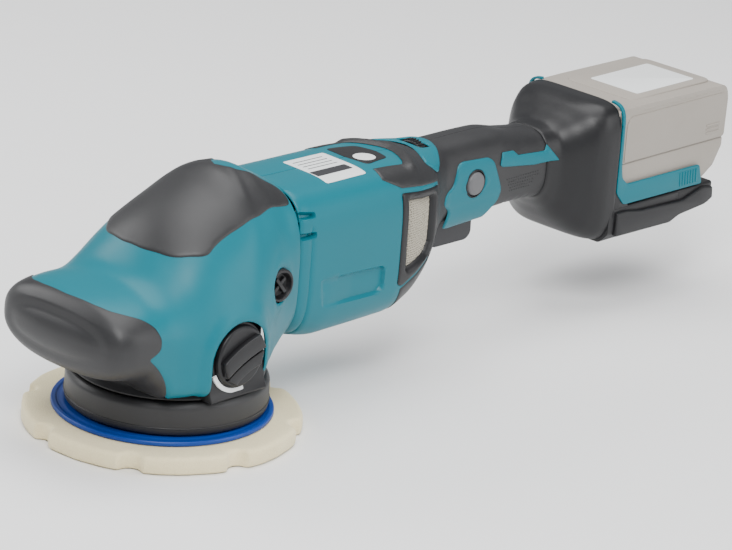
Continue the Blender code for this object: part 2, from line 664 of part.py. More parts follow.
def make_holder():
    """Flared battery holder with its tray, trim and terminals."""
    run = between(BODY, HANDLE_END + GAP, RIM_X)
    holder = lofted("battery_holder", run, 0, "black_plastic")
    hollow = [moved(run[0], HANDLE_END - 1)] + [station for station in run[1:] if station[0] < 330]
    hollow.append(moved(hollow[-1], 331))
    boolean(holder, lofted("holder_hollow", hollow, 3.5))
    tray = side_plate("tray", [(336, 62), (336, 46.6), (360, 45), (392, 46.5), (404, 50), (405, 52.5),
                               (TRAY_END - 4, 54), (TRAY_END, 58), (TRAY_END, 66), (TRAY_END - 2, TRAY_TOP),
                               (336, TRAY_TOP)], 2 * HOLDER_HALF, 0)
    boolean(holder, tray, "UNION")
    start = BATTERY_START - 0.5
    half = BATTERY_HALF + 0.4
    boolean(holder, box("battery_pocket", (start, -half, TRAY_TOP + 0.5), (360, half, BATTERY_TOP + 0.5)))
    boolean(holder, box("rail_channel", (345, -28, 60), (450, 28, 75)))
    boolean(holder, box("terminal_way", (329, -18, 74), (345, 18, 90)))
    for side, sign in (("left", -1), ("right", 1)):
        outline = [(RIM_X + GAP, TRAY_TOP + GAP), (428, TRAY_TOP + GAP), (426, 83), (350, 83), (345.5, 88),
                   (345.5, 128), (RIM_X + GAP, 130)]
        side_plate("holder_trim_" + side, outline, 1.4, sign * 37.8, "teal")
    box("terminal_block", (329.5, -14, 76), (335.5, 14, 88), "dark_grey", 0.6)


def make_battery():
    """Two case halves, the cells and the release button."""
    low, top, half = BATTERY_LOW, BATTERY_TOP, BATTERY_HALF
    split = BATTERY_SPLIT
    outline_low = [(BATTERY_START, split - 0.15), (BATTERY_START, low), (428, low), (440, 78),
                   (BATTERY_END, 90), (BATTERY_END, split - 0.15)]
    lower = side_plate("battery_case_lower", outline_low, 2 * half, 0, "battery_grey")
    boolean(lower, box("lower_hollow", (BATTERY_START + 2.5, -half + 2.5, low + 2.5), (426, half - 2.5, split + 5)))
    tongue = box("battery_tongue", (347, -27.4, 61), (430, 27.4, low + 1))
    boolean(lower, tongue, "UNION")
    outline_top = [(BATTERY_START, split + 0.15), (BATTERY_END, split + 0.15), (BATTERY_END, top - 4),
                   (BATTERY_END - 3, top), (BATTERY_START, top)]
    upper = side_plate("battery_case_upper", outline_top, 2 * half, 0, "battery_grey")
    boolean(upper, box("upper_hollow", (BATTERY_START + 2.5, -half + 2.5, split - 5),
                       (BATTERY_END - 2.5, half - 2.5, top - 2.5)))
    cells = box("cell_pack", (BATTERY_START + 5, -half + 5, low + 5), (422, half - 5, top - 5), "cell_green", 4)
    hole = box("button_hole", (BATTERY_END - 10, -13.4, 104.6), (BATTERY_END + 5, 13.4, 117.4))
    boolean(upper, hole)
    button = box("battery_button", (BATTERY_END - 5, -13, 105), (BATTERY_END - 0.2, 13, 117), "button_grey", 1)
    return [lower, upper, cells], button


def weld_cuts():
    """Close the hairline slivers that cuts leave where they meet a curved skin."""
    for item in parts.objects:
        if any(change.type == "BOOLEAN" for change in item.modifiers):
            weld = item.modifiers.new("welded", "WELD")
            weld.merge_threshold = WELD_DISTANCE


def main():
    start_scene()
    pad = make_pad()
    drive = make_drive()
    make_gear_case()
    rotor = make_motor()
    knob, shift_ring = make_lower_head()
    make_head()
    dial = make_housing()
    trigger, lock = make_handle()
    make_holder()
    battery, button = make_battery()
    spindle_frame = joint_frame("spindle_axis", (ORBIT_OFFSET, 0, 0), drive)
    pad_frame = joint_frame("pad_axis", (0, 0, 0), pad)
    pad_frame.parent = spindle_frame
    pad_frame.matrix_parent_inverse = Matrix.Translation(-spindle_frame.location)
    weld_cuts()
    joint_frame("rotor_axis", (0, 0, MOTOR_Z), rotor)
    joint_frame("mode_axis", (KNOB_X, -KNOB_FACE, KNOB_Z), [knob])
    joint_frame("mode_slide", (ORBIT_OFFSET, 0, 40), [shift_ring])
    joint_frame("dial_axis", (DIAL_X, 0, 118.5), [dial])
    joint_frame("trigger_axis", (TRIGGER_PIVOT[0], 0, TRIGGER_PIVOT[1]), [trigger])
    joint_frame("lock_slide", (LOCK_AT[0], -20, LOCK_AT[1]), [lock])
    battery_frame = joint_frame("battery_slide", (BATTERY_START, 0, BATTERY_LOW), battery)
    button_frame = joint_frame("battery_button_slide", (BATTERY_END, 0, 111), [button])
    button_frame.parent = battery_frame
    button_frame.matrix_parent_inverse = Matrix.Translation(-battery_frame.location)


main()
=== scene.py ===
from math import atan2, ceil, cos, degrees, hypot, pi, radians, sin, sqrt

import bmesh
import bpy
import numpy as np
from mathutils import Matrix, Vector
from mathutils.geometry import delaunay_2d_cdt


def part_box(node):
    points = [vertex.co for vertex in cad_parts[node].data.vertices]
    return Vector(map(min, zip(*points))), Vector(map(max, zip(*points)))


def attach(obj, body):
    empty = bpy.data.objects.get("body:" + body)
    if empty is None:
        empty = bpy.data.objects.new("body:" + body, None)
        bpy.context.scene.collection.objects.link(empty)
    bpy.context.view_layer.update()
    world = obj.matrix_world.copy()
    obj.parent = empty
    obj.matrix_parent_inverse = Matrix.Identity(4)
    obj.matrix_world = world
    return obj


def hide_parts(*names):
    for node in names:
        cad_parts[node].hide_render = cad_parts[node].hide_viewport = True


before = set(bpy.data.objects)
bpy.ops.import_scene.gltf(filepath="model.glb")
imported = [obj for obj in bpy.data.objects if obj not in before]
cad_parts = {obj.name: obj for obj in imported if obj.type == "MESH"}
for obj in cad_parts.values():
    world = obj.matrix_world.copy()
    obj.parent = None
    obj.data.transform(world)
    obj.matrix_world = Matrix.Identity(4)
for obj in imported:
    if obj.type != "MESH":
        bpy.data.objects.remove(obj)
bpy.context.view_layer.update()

mm = 0.001               # every length below is in millimetres until a mesh is made
arc = 0.8                # millimetres of skin for one degree of turn about the tool's long axis

# Stations along the tool: x, half width, lowest, widest and highest z, squareness above and below
headSkin = np.array([
    (-86, 33, 62, 72, 82, 2.4, 2.4), (-84, 41, 56, 72, 88, 2.5, 2.5), (-78.5, 47, 51, 72, 93, 2.6, 2.6),
    (-70, 50, 48.5, 71, 95, 2.6, 2.7), (-60, 51, 47.5, 70, 96.5, 2.5, 3), (-50, 51.5, 43, 68, 98, 2.3, 5),
    (-43, 52, 37, 66, 101, 2.2, 8), (-31, 54.5, 37, 63, 111.5, 2.05, 10), (-20, 57, 37, 62, 121.5, 2.0, 10),
    (-8, 58.5, 37, 62, 129.5, 2.0, 10), (10, 58, 37, 64, 138.5, 2.0, 10), (28, 53, 40, 70, 146.2, 2.0, 9),
    (40, 47, 44, 76, 145.5, 2.2, 8), (51, 43, 46, 84, 140.5, 2.3, 6), (62, 40.5, 47, 90, 134.5, 2.8, 4)])
bodySkin = np.array([
    (62.6, 39.5, 46, 88, 133, 3.6, 3.4), (70, 40, 42, 87, 132, 4, 3.6), (90, 40, 38.5, 86, 131.5, 4, 4),
    (144, 40, 39, 86, 130.5, 4, 4), (160, 39.5, 43.5, 87, 129.5, 4, 3.6), (174, 36.5, 51, 90, 128.5, 3.6, 3.2),
    (186, 31, 61, 94, 128, 3.2, 3), (196, 25, 70, 97, 127.5, 3, 2.8), (208, 20.5, 76, 101, 127.5, 2.8, 2.8),
    (230, 20, 77, 102, 127.5, 2.8, 2.8), (254, 20, 77.5, 102, 127, 2.8, 2.8), (275, 19.5, 78, 100, 123, 2.8, 2.8),
    (296, 19.5, 77, 99, 120.5, 2.8, 2.8), (306, 21.5, 69, 98, 121, 2.8, 2.8), (316, 29.5, 58.5, 97, 127, 3.2, 3.2),
    (325, 35.8, 51, 95, 132.8, 4.2, 4.2), (333, 38, 47.6, 92, 134.8, 5.5, 5.5), (342, 38.3, 46, 90, 135, 6.5, 6.5)])


def stationAt(table, x):
    xs = table[:, 0]
    secants = np.diff(table[:, 1:], axis=0) / np.diff(xs)[:, None]
    before, after = secants[:-1], secants[1:]
    slopes = np.zeros_like(table[:, 1:])
    slopes[1:-1] = np.where(before * after > 0, 2 * before * after / np.where(before + after == 0, 1,
        before + after), 0)
    slopes[0], slopes[-1] = secants[0], secants[-1]
    index = np.clip(np.searchsorted(xs, x) - 1, 0, len(xs) - 2)
    run = xs[index + 1] - xs[index]
    t = np.clip((x - xs[index]) / run, 0, 1)[:, None]
    a, b = table[index, 1:], table[index + 1, 1:]
    run = run[:, None]
    return ((2 * t**3 - 3 * t**2 + 1) * a + (t**3 - 2 * t**2 + t) * run * slopes[index]
            + (3 * t**2 - 2 * t**3) * b + (t**3 - t**2) * run * slopes[index + 1])


def skinPoint(table, x, turn):
    half, low, middle, high, above, below = stationAt(table, x).T
    across, upward = np.cos(turn), np.sin(turn)
    power = np.where(upward >= 0, above, below)
    reach = np.where(upward >= 0, high - middle, middle - low)
    scale = (np.abs(across)**power + np.abs(upward)**power)**(-1 / power)
    return np.stack([x, -half * scale * across, middle + reach * scale * upward], 1)


def onSkin(table):
    def place(spots, lift):
        x, turn = spots[:, 0], np.radians(spots[:, 1] / arc)
        here = skinPoint(table, x, turn)
        along = skinPoint(table, x + 0.2, turn) - skinPoint(table, x - 0.2, turn)
        around = skinPoint(table, x, turn + 0.004) - skinPoint(table, x, turn - 0.004)
        normal = np.cross(along, around)
        normal /= np.maximum(np.linalg.norm(normal, axis=1), 1e-9)[:, None]
        return here + normal * np.asarray(lift).reshape(-1, 1)
    return place


def sideLine(table, points, side=-1):
    spots = []
    for x, z in points:
        half, low, middle, high, above, below = stationAt(table, np.array([float(x)]))[0]
        reach, power = (high - middle, above) if z >= middle else (middle - low, below)
        share = min(abs(z - middle) / reach, 1)
        turn = degrees(atan2(share, max(1 - share**power, 0)**(1 / power)))
        turn = turn if z >= middle else -turn
        spots.append((x, turn * arc if side < 0 else (180 - turn) * arc))
    return spots


def topLine(table, points):
    spots = []
    for x, y in points:
        half, low, middle, high, above, below = stationAt(table, np.array([float(x)]))[0]
        share = min(abs(y) / half, 1)
        turn = degrees(atan2(max(1 - share**above, 0)**(1 / above), share))
        spots.append((x, turn * arc if y < 0 else (180 - turn) * arc))
    return spots


def denser(points, step, closed=True):
    result = []
    count = len(points) if closed else len(points) - 1
    for index in range(count):
        a, b = points[index], points[(index + 1) % len(points)]
        parts = max(1, ceil(hypot(b[0] - a[0], b[1] - a[1]) / step))
        result += [(a[0] + (b[0] - a[0]) * k / parts, a[1] + (b[1] - a[1]) * k / parts) for k in range(parts)]
    return result if closed else result + [tuple(points[-1])]


def softened(points, radius, step=0.8, closed=True):
    line = []
    for index, point in enumerate(points):
        if not closed and index in (0, len(points) - 1):
            line.append(tuple(point))
            continue
        here = Vector(point)
        before, after = Vector(points[index - 1]), Vector(points[(index + 1) % len(points)])
        reachBack = min(radius, 0.45 * (before - here).length)
        reachOn = min(radius, 0.45 * (after - here).length)
        start = here + (before - here).normalized() * reachBack
        end = here + (after - here).normalized() * reachOn
        for k in range(7):
            t = k / 6
            spot = start * (1 - t)**2 + here * 2 * t * (1 - t) + end * t**2
            line.append((spot.x, spot.y))
    return denser(line, step, closed)


def insideOf(spots, loops):
    hit = np.zeros(len(spots), bool)
    px, py = spots[:, 0], spots[:, 1]
    for loop in loops:
        ring = np.asarray(loop)
        for (ax, ay), (bx, by) in zip(ring, np.roll(ring, -1, 0)):
            if ay == by:
                continue
            crosses = (ay > py) != (by > py)
            hit ^= crosses & (px < (bx - ax) * (py - ay) / (by - ay) + ax)
    return hit


def distanceTo(spots, lines, closed=True):
    best = np.full(len(spots), 1e9)
    for line in lines:
        a = np.asarray(line, float)
        b = np.roll(a, -1, 0) if closed else a[1:]
        a = a if closed else a[:-1]
        for start, end in zip(a, b):
            way = end - start
            length = max(way @ way, 1e-12)
            t = np.clip(((spots - start) @ way) / length, 0, 1)
            best = np.minimum(best, np.linalg.norm(spots - start - t[:, None] * way, axis=1))
    return best


def pocket(spots, outline, depth, width):
    distance = distanceTo(spots, [outline]) * np.where(insideOf(spots, [outline]), 1, -1)
    share = np.clip(distance / width + 0.5, 0, 1)
    return depth * share * share * (3 - 2 * share)


def besideLine(line, distance, closed=True):
    ring = np.asarray(line, float)
    if closed:
        along = np.roll(ring, -1, 0) - np.roll(ring, 1, 0)
    else:
        along = np.gradient(ring, axis=0)
    along /= np.maximum(np.linalg.norm(along, axis=1), 1e-9)[:, None]
    return ring + np.stack([along[:, 1], -along[:, 0]], 1) * distance


def sheet(name, place, loops, step=2.0, roll=0.5, rollWidth=0.9, wall=2.4, lift=0.0, relief=None, creases=(),
          rolled=None):
    outlines = [np.asarray(loop, float) for loop in loops]
    edges = outlines if rolled is None else [np.asarray(line, float) for line in rolled]
    low, high = outlines[0].min(0), outlines[0].max(0)
    across = np.arange(low[0] + step / 2, high[0], step)
    upward = np.arange(low[1] + step / 2, high[1], step)
    spots = np.stack(np.meshgrid(across, upward), -1).reshape(-1, 2)
    spots = spots[insideOf(spots, outlines)]
    spots = spots[distanceTo(spots, outlines) > rollWidth + 0.25 * step]
    fringe = []
    for outline in outlines:
        for share in (0.35, 1.0):
            for way in (-1, 1):
                row = besideLine(outline, way * rollWidth * share)
                row = row[insideOf(row, outlines)]
                fringe.append(row[distanceTo(row, outlines) > 0.85 * rollWidth * share])
    lines = [np.asarray(line, float) for line in creases]
    if lines:
        spots = spots[distanceTo(spots, lines, False) > 0.7 * step]
        for line in lines:
            for way in (-0.6, 0, 0.6):
                row = besideLine(line, way, False)
                row = row[insideOf(row, outlines)]
                fringe.append(row[distanceTo(row, outlines) > rollWidth])
    points, rims = [], []
    for outline in outlines:
        first = len(points)
        points += [tuple(spot) for spot in outline]
        rims += [(first + k, first + (k + 1) % len(outline)) for k in range(len(outline))]
    for row in [spots] + fringe:
        points += [tuple(spot) for spot in row]
    flat, _, faces, *_ = delaunay_2d_cdt([Vector(point) for point in points], rims, [], 0, 1e-4)
    flat = np.array([tuple(spot) for spot in flat])
    faces = np.array([tuple(face) for face in faces])
    faces = faces[insideOf(flat[faces].mean(1), outlines)]
    a, b, c = (flat[faces[:, k]] for k in range(3))
    area = (b[:, 0] - a[:, 0]) * (c[:, 1] - a[:, 1]) - (b[:, 1] - a[:, 1]) * (c[:, 0] - a[:, 0])
    faces[area < 0] = faces[area < 0][:, ::-1]
    faces = faces[np.abs(area) > 1e-5]
    height = np.full(len(flat), float(lift))
    if roll:
        share = np.clip(1 - distanceTo(flat, edges, rolled is None) / rollWidth, 0, 1)
        height -= roll * share**2
    if relief:
        height += relief(flat)
    return shell(name, place(flat, height), faces.tolist(), wall)


def shell(name, points, faces, wall=0.0, weld=1e-5):
    mesh = bpy.data.meshes.new(name)
    mesh.from_pydata((np.asarray(points) * mm).tolist(), [], faces)
    form = bmesh.new()
    form.from_mesh(mesh)
    bmesh.ops.remove_doubles(form, verts=form.verts, dist=weld)
    loose = [vertex for vertex in form.verts if not vertex.link_faces]
    bmesh.ops.delete(form, geom=loose, context="VERTS")
    form.to_mesh(mesh)
    form.free()
    piece = bpy.data.objects.new(name, mesh)
    bpy.context.scene.collection.objects.link(piece)
    if wall:
        skin = piece.modifiers.new("wall", "SOLIDIFY")
        skin.thickness = wall * mm
        skin.offset = -1
    return settled(piece)


def settled(piece, angle=38):
    graph = bpy.context.evaluated_depsgraph_get()
    mesh = bpy.data.meshes.new_from_object(piece.evaluated_get(graph))
    mesh.name = piece.name
    piece.modifiers.clear()
    piece.data = mesh
    mesh.transform(piece.matrix_world)
    piece.matrix_world = Matrix.Identity(4)
    mesh.shade_smooth()
    mesh.set_sharp_from_angle(angle=radians(angle))
    return piece


def ringSkin(name, rings, wall=0.0, closeStart=False, closeEnd=False, loop=True):
    points = np.concatenate(rings)
    count = len(rings[0])
    faces = []
    for row in range(len(rings) - 1):
        for k in range(count if loop else count - 1):
            a, b = row * count + k, row * count + (k + 1) % count
            faces.append((a, a + count, b + count, b))
    if closeStart:
        faces.append(tuple(range(count)))
    if closeEnd:
        faces.append(tuple(reversed(range((len(rings) - 1) * count, len(rings) * count))))
    return shell(name, points, faces, wall)


def turned(name, profile, centre=(0, 0, 0), axis="Z", steps=96, rounding=0.4, closed=True, sweep=(0, 360)):
    line = softened(profile, rounding, 2.0, closed)
    whole = sweep[1] - sweep[0] >= 360
    angles = [radians(sweep[0] + (sweep[1] - sweep[0]) * k / steps) for k in range(steps + (not whole))]
    place = {"Z": lambda r, h, a: (r * cos(a), r * sin(a), h), "Y": lambda r, h, a: (r * cos(a), h, r * sin(a)),
             "X": lambda r, h, a: (h, r * cos(a), r * sin(a))}[axis]
    points = [Vector(place(r, h, a)) + Vector(centre) for a in angles for r, h in line]
    count = len(line)
    faces = []
    for row in range(len(angles) if whole else len(angles) - 1):
        for k in range(count if closed else count - 1):
            a, b = row * count, (row + 1) % len(angles) * count
            faces.append((a + k, a + (k + 1) % count, b + (k + 1) % count, b + k))
    if not whole:
        faces += [tuple(range(count)), tuple(range((len(angles) - 1) * count, len(angles) * count))]
    piece = shell(name, [tuple(point) for point in points], faces)
    return outward(piece)


def outward(piece):
    form = bmesh.new()
    form.from_mesh(piece.data)
    bmesh.ops.dissolve_degenerate(form, edges=form.edges, dist=1e-7)
    bmesh.ops.recalc_face_normals(form, faces=form.faces)
    form.to_mesh(piece.data)
    form.free()
    return settled(piece)


def slab(name, outline, near, far, bevel=0.8, axis="Y", segments=3, cuts=()):
    place = {"Y": lambda u, v, h: (u, h, v), "Z": lambda u, v, h: (u, v, h), "X": lambda u, v, h: (h, u, v)}[axis]
    form = bmesh.new()
    rows = [[form.verts.new(Vector(place(u, v, h)) * mm) for u, v in outline] for h in (near, far)]
    form.faces.new(rows[0])
    form.faces.new(reversed(rows[1]))
    for k in range(len(outline)):
        other = (k + 1) % len(outline)
        form.faces.new((rows[0][k], rows[1][k], rows[1][other], rows[0][other]))
    bmesh.ops.recalc_face_normals(form, faces=form.faces)
    mesh = bpy.data.meshes.new(name)
    form.to_mesh(mesh)
    form.free()
    piece = bpy.data.objects.new(name, mesh)
    bpy.context.scene.collection.objects.link(piece)
    for cutter in cuts:
        change = piece.modifiers.new("cut", "BOOLEAN")
        change.operation = "DIFFERENCE"
        change.object = cutter
    if bevel:
        edges = piece.modifiers.new("edges", "BEVEL")
        edges.width = bevel * mm
        edges.segments = segments
        edges.limit_method = "ANGLE"
        edges.angle_limit = radians(25)
    settled(piece, 30)
    for cutter in cuts:
        bpy.data.objects.remove(cutter)
    return piece


def joined(name, pieces):
    form = bmesh.new()
    for piece in pieces:
        form.from_mesh(piece.data)
    mesh = bpy.data.meshes.new(name)
    form.to_mesh(mesh)
    form.free()
    for piece in pieces:
        bpy.data.objects.remove(piece)
    whole = bpy.data.objects.new(name, mesh)
    bpy.context.scene.collection.objects.link(whole)
    return settled(whole)


def fitted(piece, body, slot, finish, *nodes):
    piece.data.materials.clear()
    piece.data.materials.append(finish)
    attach(piece, body)
    if nodes:
        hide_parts(*nodes)
    return piece


def flipped(points):
    return [(x, 180 * arc - turn) for x, turn in points]


# Materials: two groups shared by every moulded finish, and one for foam
def groupOf(name, inputs, outputs):
    tree = bpy.data.node_groups.new(name, "ShaderNodeTree")
    for label, kind, value in inputs:
        socket = tree.interface.new_socket(label, in_out="INPUT", socket_type=kind)
        if value is not None:
            socket.default_value = value
    for label, kind in outputs:
        tree.interface.new_socket(label, in_out="OUTPUT", socket_type=kind)
    return tree, tree.nodes.new("NodeGroupInput"), tree.nodes.new("NodeGroupOutput")


def wired(tree, kind, **values):
    node = tree.nodes.new(kind)
    for label, value in values.items():
        label = label.replace("_", " ")
        if isinstance(value, bpy.types.NodeSocket):
            tree.links.new(value, node.inputs[label])
        else:
            node.inputs[label].default_value = value
    return node


def mathNode(tree, operation, *values, clamp=False):
    node = tree.nodes.new("ShaderNodeMath")
    node.operation = operation
    node.use_clamp = clamp
    for socket, value in zip(node.inputs, values):
        if isinstance(value, bpy.types.NodeSocket):
            tree.links.new(value, socket)
        else:
            socket.default_value = value
    return node.outputs[0]


def mixedColour(tree, factor, first, second):
    node = tree.nodes.new("ShaderNodeMix")
    node.data_type = "RGBA"
    for socket, value in ((node.inputs[0], factor), (node.inputs[6], first), (node.inputs[7], second)):
        if isinstance(value, bpy.types.NodeSocket):
            tree.links.new(value, socket)
        else:
            socket.default_value = value
    return node.outputs[2]


def makeMouldGrain():
    tree, start, end = groupOf("mouldGrain", [("Vector", "NodeSocketVector", None),
                                              ("Scale", "NodeSocketFloat", 1500),
                                              ("Coarse", "NodeSocketFloat", 0.5)], [("Height", "NodeSocketFloat")])
    fine = wired(tree, "ShaderNodeTexNoise", Vector=start.outputs["Vector"], Scale=start.outputs["Scale"], Detail=2.0)
    wide = mathNode(tree, "MULTIPLY", start.outputs["Scale"], 0.12)
    swell = wired(tree, "ShaderNodeTexNoise", Vector=start.outputs["Vector"], Scale=wide, Detail=1.0)
    swell = mathNode(tree, "MULTIPLY", swell.outputs[0], start.outputs["Coarse"])
    height = mathNode(tree, "ADD", fine.outputs[0], swell)
    tree.links.new(height, end.inputs["Height"])
    return tree


def makeHandlingWear():
    tree, start, end = groupOf("handlingWear", [
        ("Vector", "NodeSocketVector", None), ("Tone", "NodeSocketColor", (0.5, 0.5, 0.5, 1)),
        ("Faded", "NodeSocketColor", (0.6, 0.6, 0.6, 1)), ("Shift", "NodeSocketFloat", 0.25),
        ("Gloss", "NodeSocketFloat", 0.45), ("Spread", "NodeSocketFloat", 0.1)],
        [("Color", "NodeSocketColor"), ("Roughness", "NodeSocketFloat")])
    cloud = wired(tree, "ShaderNodeTexNoise", Vector=start.outputs["Vector"], Scale=22.0, Detail=5.0, Roughness=0.6)
    speck = wired(tree, "ShaderNodeTexNoise", Vector=start.outputs["Vector"], Scale=700.0, Detail=2.0)
    patch = mathNode(tree, "MULTIPLY_ADD", cloud.outputs[0], 2.4, -0.7, clamp=True)
    dots = mathNode(tree, "MULTIPLY_ADD", speck.outputs[0], 5.0, -2.9, clamp=True)
    both = mathNode(tree, "MULTIPLY_ADD", dots, 0.45, patch, clamp=True)
    amount = mathNode(tree, "MULTIPLY", both, start.outputs["Shift"])
    tree.links.new(mixedColour(tree, amount, start.outputs["Tone"], start.outputs["Faded"]), end.inputs["Color"])
    spread = mathNode(tree, "MULTIPLY", mathNode(tree, "SUBTRACT", both, 0.5), start.outputs["Spread"])
    tree.links.new(mathNode(tree, "ADD", start.outputs["Gloss"], spread, clamp=True), end.inputs["Roughness"])
    return tree


mouldGrain, handlingWear = makeMouldGrain(), makeHandlingWear()


def moulded(name, tone, faded, gloss, spread=0.12, grain=1500.0, depth=0.03, coarse=0.5, shift=0.3, metallic=0.0,
            specular=0.36, coat=0.0, sheen=0.0):
    finish = bpy.data.materials.new(name)
    finish.use_nodes = True
    tree = finish.node_tree
    shader = tree.nodes["Principled BSDF"]
    where = tree.nodes.new("ShaderNodeTexCoord").outputs["Object"]
    wear = tree.nodes.new("ShaderNodeGroup")
    wear.node_tree = handlingWear
    surface = tree.nodes.new("ShaderNodeGroup")
    surface.node_tree = mouldGrain
    for node in (wear, surface):
        tree.links.new(where, node.inputs["Vector"])
    for label, value in (("Tone", (*tone, 1)), ("Faded", (*faded, 1)), ("Shift", shift), ("Gloss", gloss),
                         ("Spread", spread)):
        wear.inputs[label].default_value = value
    surface.inputs["Scale"].default_value = grain
    surface.inputs["Coarse"].default_value = coarse
    bump = wired(tree, "ShaderNodeBump", Height=surface.outputs["Height"], Strength=1.0, Distance=depth * mm)
    tree.links.new(wear.outputs["Color"], shader.inputs["Base Color"])
    tree.links.new(wear.outputs["Roughness"], shader.inputs["Roughness"])
    tree.links.new(bump.outputs[0], shader.inputs["Normal"])
    shader.inputs["Metallic"].default_value = metallic
    shader.inputs["Specular IOR Level"].default_value = specular
    if coat:
        shader.inputs["Coat Weight"].default_value = coat
        shader.inputs["Coat Roughness"].default_value = 0.25
    if sheen:
        shader.inputs["Sheen Weight"].default_value = sheen
    finish.diffuse_color = (*tone, 1)
    return finish


def foamFinish():
    finish = bpy.data.materials.new("padFoam")
    finish.use_nodes = True
    tree = finish.node_tree
    shader = tree.nodes["Principled BSDF"]
    where = tree.nodes.new("ShaderNodeTexCoord").outputs["Object"]
    cells = wired(tree, "ShaderNodeTexVoronoi", Vector=where, Scale=1300.0)
    small = wired(tree, "ShaderNodeTexVoronoi", Vector=where, Scale=3100.0)
    cloud = wired(tree, "ShaderNodeTexNoise", Vector=where, Scale=45.0, Detail=4.0)
    pores = mathNode(tree, "MULTIPLY_ADD", cells.outputs["Distance"], 1.3, -0.15, clamp=True)
    both = mathNode(tree, "MULTIPLY_ADD", small.outputs["Distance"], 0.5, pores)
    shade = mathNode(tree, "MULTIPLY_ADD", cloud.outputs[0], 0.5, mathNode(tree, "MULTIPLY", pores, 0.25), clamp=True)
    colour = mixedColour(tree, shade, (0.92, 0.83, 0.54, 1), (0.7, 0.58, 0.34, 1))
    bump = wired(tree, "ShaderNodeBump", Height=both, Strength=0.9, Distance=0.18 * mm)
    tree.links.new(colour, shader.inputs["Base Color"])
    tree.links.new(bump.outputs[0], shader.inputs["Normal"])
    shader.inputs["Roughness"].default_value = 0.92
    shader.inputs["Sheen Weight"].default_value = 0.25
    shader.inputs["Specular IOR Level"].default_value = 0.2
    return finish


finishes = {
    "teal": moulded("tealShell", (0.0, 0.13, 0.17), (0.0, 0.15, 0.2), 0.36, 0.1, 1700, 0.018, 0.6, 0.3,
                    specular=0.24),
    "black_rubber": moulded("gripRubber", (0.009, 0.009, 0.01), (0.019, 0.019, 0.021), 0.48, 0.14, 2100, 0.05, 0.5,
                            0.5, specular=0.55),
    "black_plastic": moulded("blackMoulding", (0.007, 0.007, 0.008), (0.016, 0.016, 0.018), 0.4, 0.12, 2400, 0.03,
                             0.4, 0.4),
    "blue_plastic": moulded("backingBlue", (0.002, 0.04, 0.27), (0.005, 0.065, 0.34), 0.36, 0.1, 1500, 0.02, 0.5,
                            0.3),
    "mesh_grey": moulded("filterWire", (0.42, 0.39, 0.32), (0.52, 0.48, 0.4), 0.5, 0.1, 3000, 0.02, 0.3, 0.4),
    "plate_white": moulded("labelWhite", (0.78, 0.8, 0.8), (0.66, 0.68, 0.68), 0.36, 0.08, 900, 0.008, 0.3, 0.25),
    "dark_grey": moulded("triggerGrey", (0.02, 0.02, 0.023), (0.04, 0.04, 0.044), 0.46, 0.1, 2200, 0.03, 0.4, 0.4),
    "button_grey": moulded("buttonGrey", (0.1, 0.1, 0.105), (0.15, 0.15, 0.155), 0.42, 0.1, 2200, 0.03, 0.4, 0.4),
    "battery_grey": moulded("batteryCase", (0.31, 0.28, 0.245), (0.37, 0.34, 0.3), 0.44, 0.1, 1800, 0.035, 0.5, 0.4),
    "steel": moulded("machinedSteel", (0.55, 0.55, 0.57), (0.4, 0.4, 0.42), 0.3, 0.15, 2600, 0.01, 0.3, 0.4, 1.0),
    "alloy": moulded("castAlloy", (0.6, 0.61, 0.62), (0.45, 0.46, 0.47), 0.45, 0.15, 900, 0.06, 0.8, 0.5, 1.0),
    "copper": moulded("windingCopper", (0.6, 0.26, 0.11), (0.4, 0.16, 0.07), 0.38, 0.15, 1500, 0.03, 0.4, 0.5, 1.0),
    "cell_green": moulded("cellWrap", (0.1, 0.35, 0.16), (0.14, 0.42, 0.2), 0.35, 0.1, 1200, 0.01, 0.3, 0.3),
    "foam": foamFinish(),
}


def dressHiddenNodes():
    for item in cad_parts.values():
        for slot in item.material_slots:
            if slot.material and slot.material.name in finishes:
                slot.material = finishes[slot.material.name]
    print("scene: CAD pieces that stay have their finishes")


# Geometry Nodes trees: wires along edges, and studs on points
def newTree(name, inputs):
    tree = bpy.data.node_groups.new(name, "GeometryNodeTree")
    tree.is_modifier = True
    tree.interface.new_socket("Geometry", in_out="INPUT", socket_type="NodeSocketGeometry")
    for label, kind, value in inputs:
        tree.interface.new_socket(label, in_out="INPUT", socket_type=kind).default_value = value
    tree.interface.new_socket("Geometry", in_out="OUTPUT", socket_type="NodeSocketGeometry")
    return tree, tree.nodes.new("NodeGroupInput"), tree.nodes.new("NodeGroupOutput")


def ended(tree, geometry, end):
    real = tree.nodes.new("GeometryNodeRealizeInstances")
    painted = tree.nodes.new("GeometryNodeSetMaterial")
    painted.inputs["Material"].default_value = finishes["mesh_grey"]
    tree.links.new(geometry, real.inputs[0])
    tree.links.new(real.outputs[0], painted.inputs["Geometry"])
    tree.links.new(painted.outputs[0], end.inputs[0])
    return tree


def wireTree():
    if "wireWeave" in bpy.data.node_groups:
        return bpy.data.node_groups["wireWeave"]
    tree, start, end = newTree("wireWeave", [("Radius", "NodeSocketFloat", 0.0003), ("Sides", "NodeSocketInt", 5)])
    curve = tree.nodes.new("GeometryNodeMeshToCurve")
    ring = tree.nodes.new("GeometryNodeCurvePrimitiveCircle")
    tube = tree.nodes.new("GeometryNodeCurveToMesh")
    tree.links.new(start.outputs["Geometry"], curve.inputs["Mesh"])
    tree.links.new(start.outputs["Radius"], ring.inputs["Radius"])
    tree.links.new(start.outputs["Sides"], ring.inputs["Resolution"])
    tree.links.new(curve.outputs[0], tube.inputs["Curve"])
    tree.links.new(ring.outputs[0], tube.inputs["Profile Curve"])
    tube.inputs["Fill Caps"].default_value = True
    return ended(tree, tube.outputs[0], end)


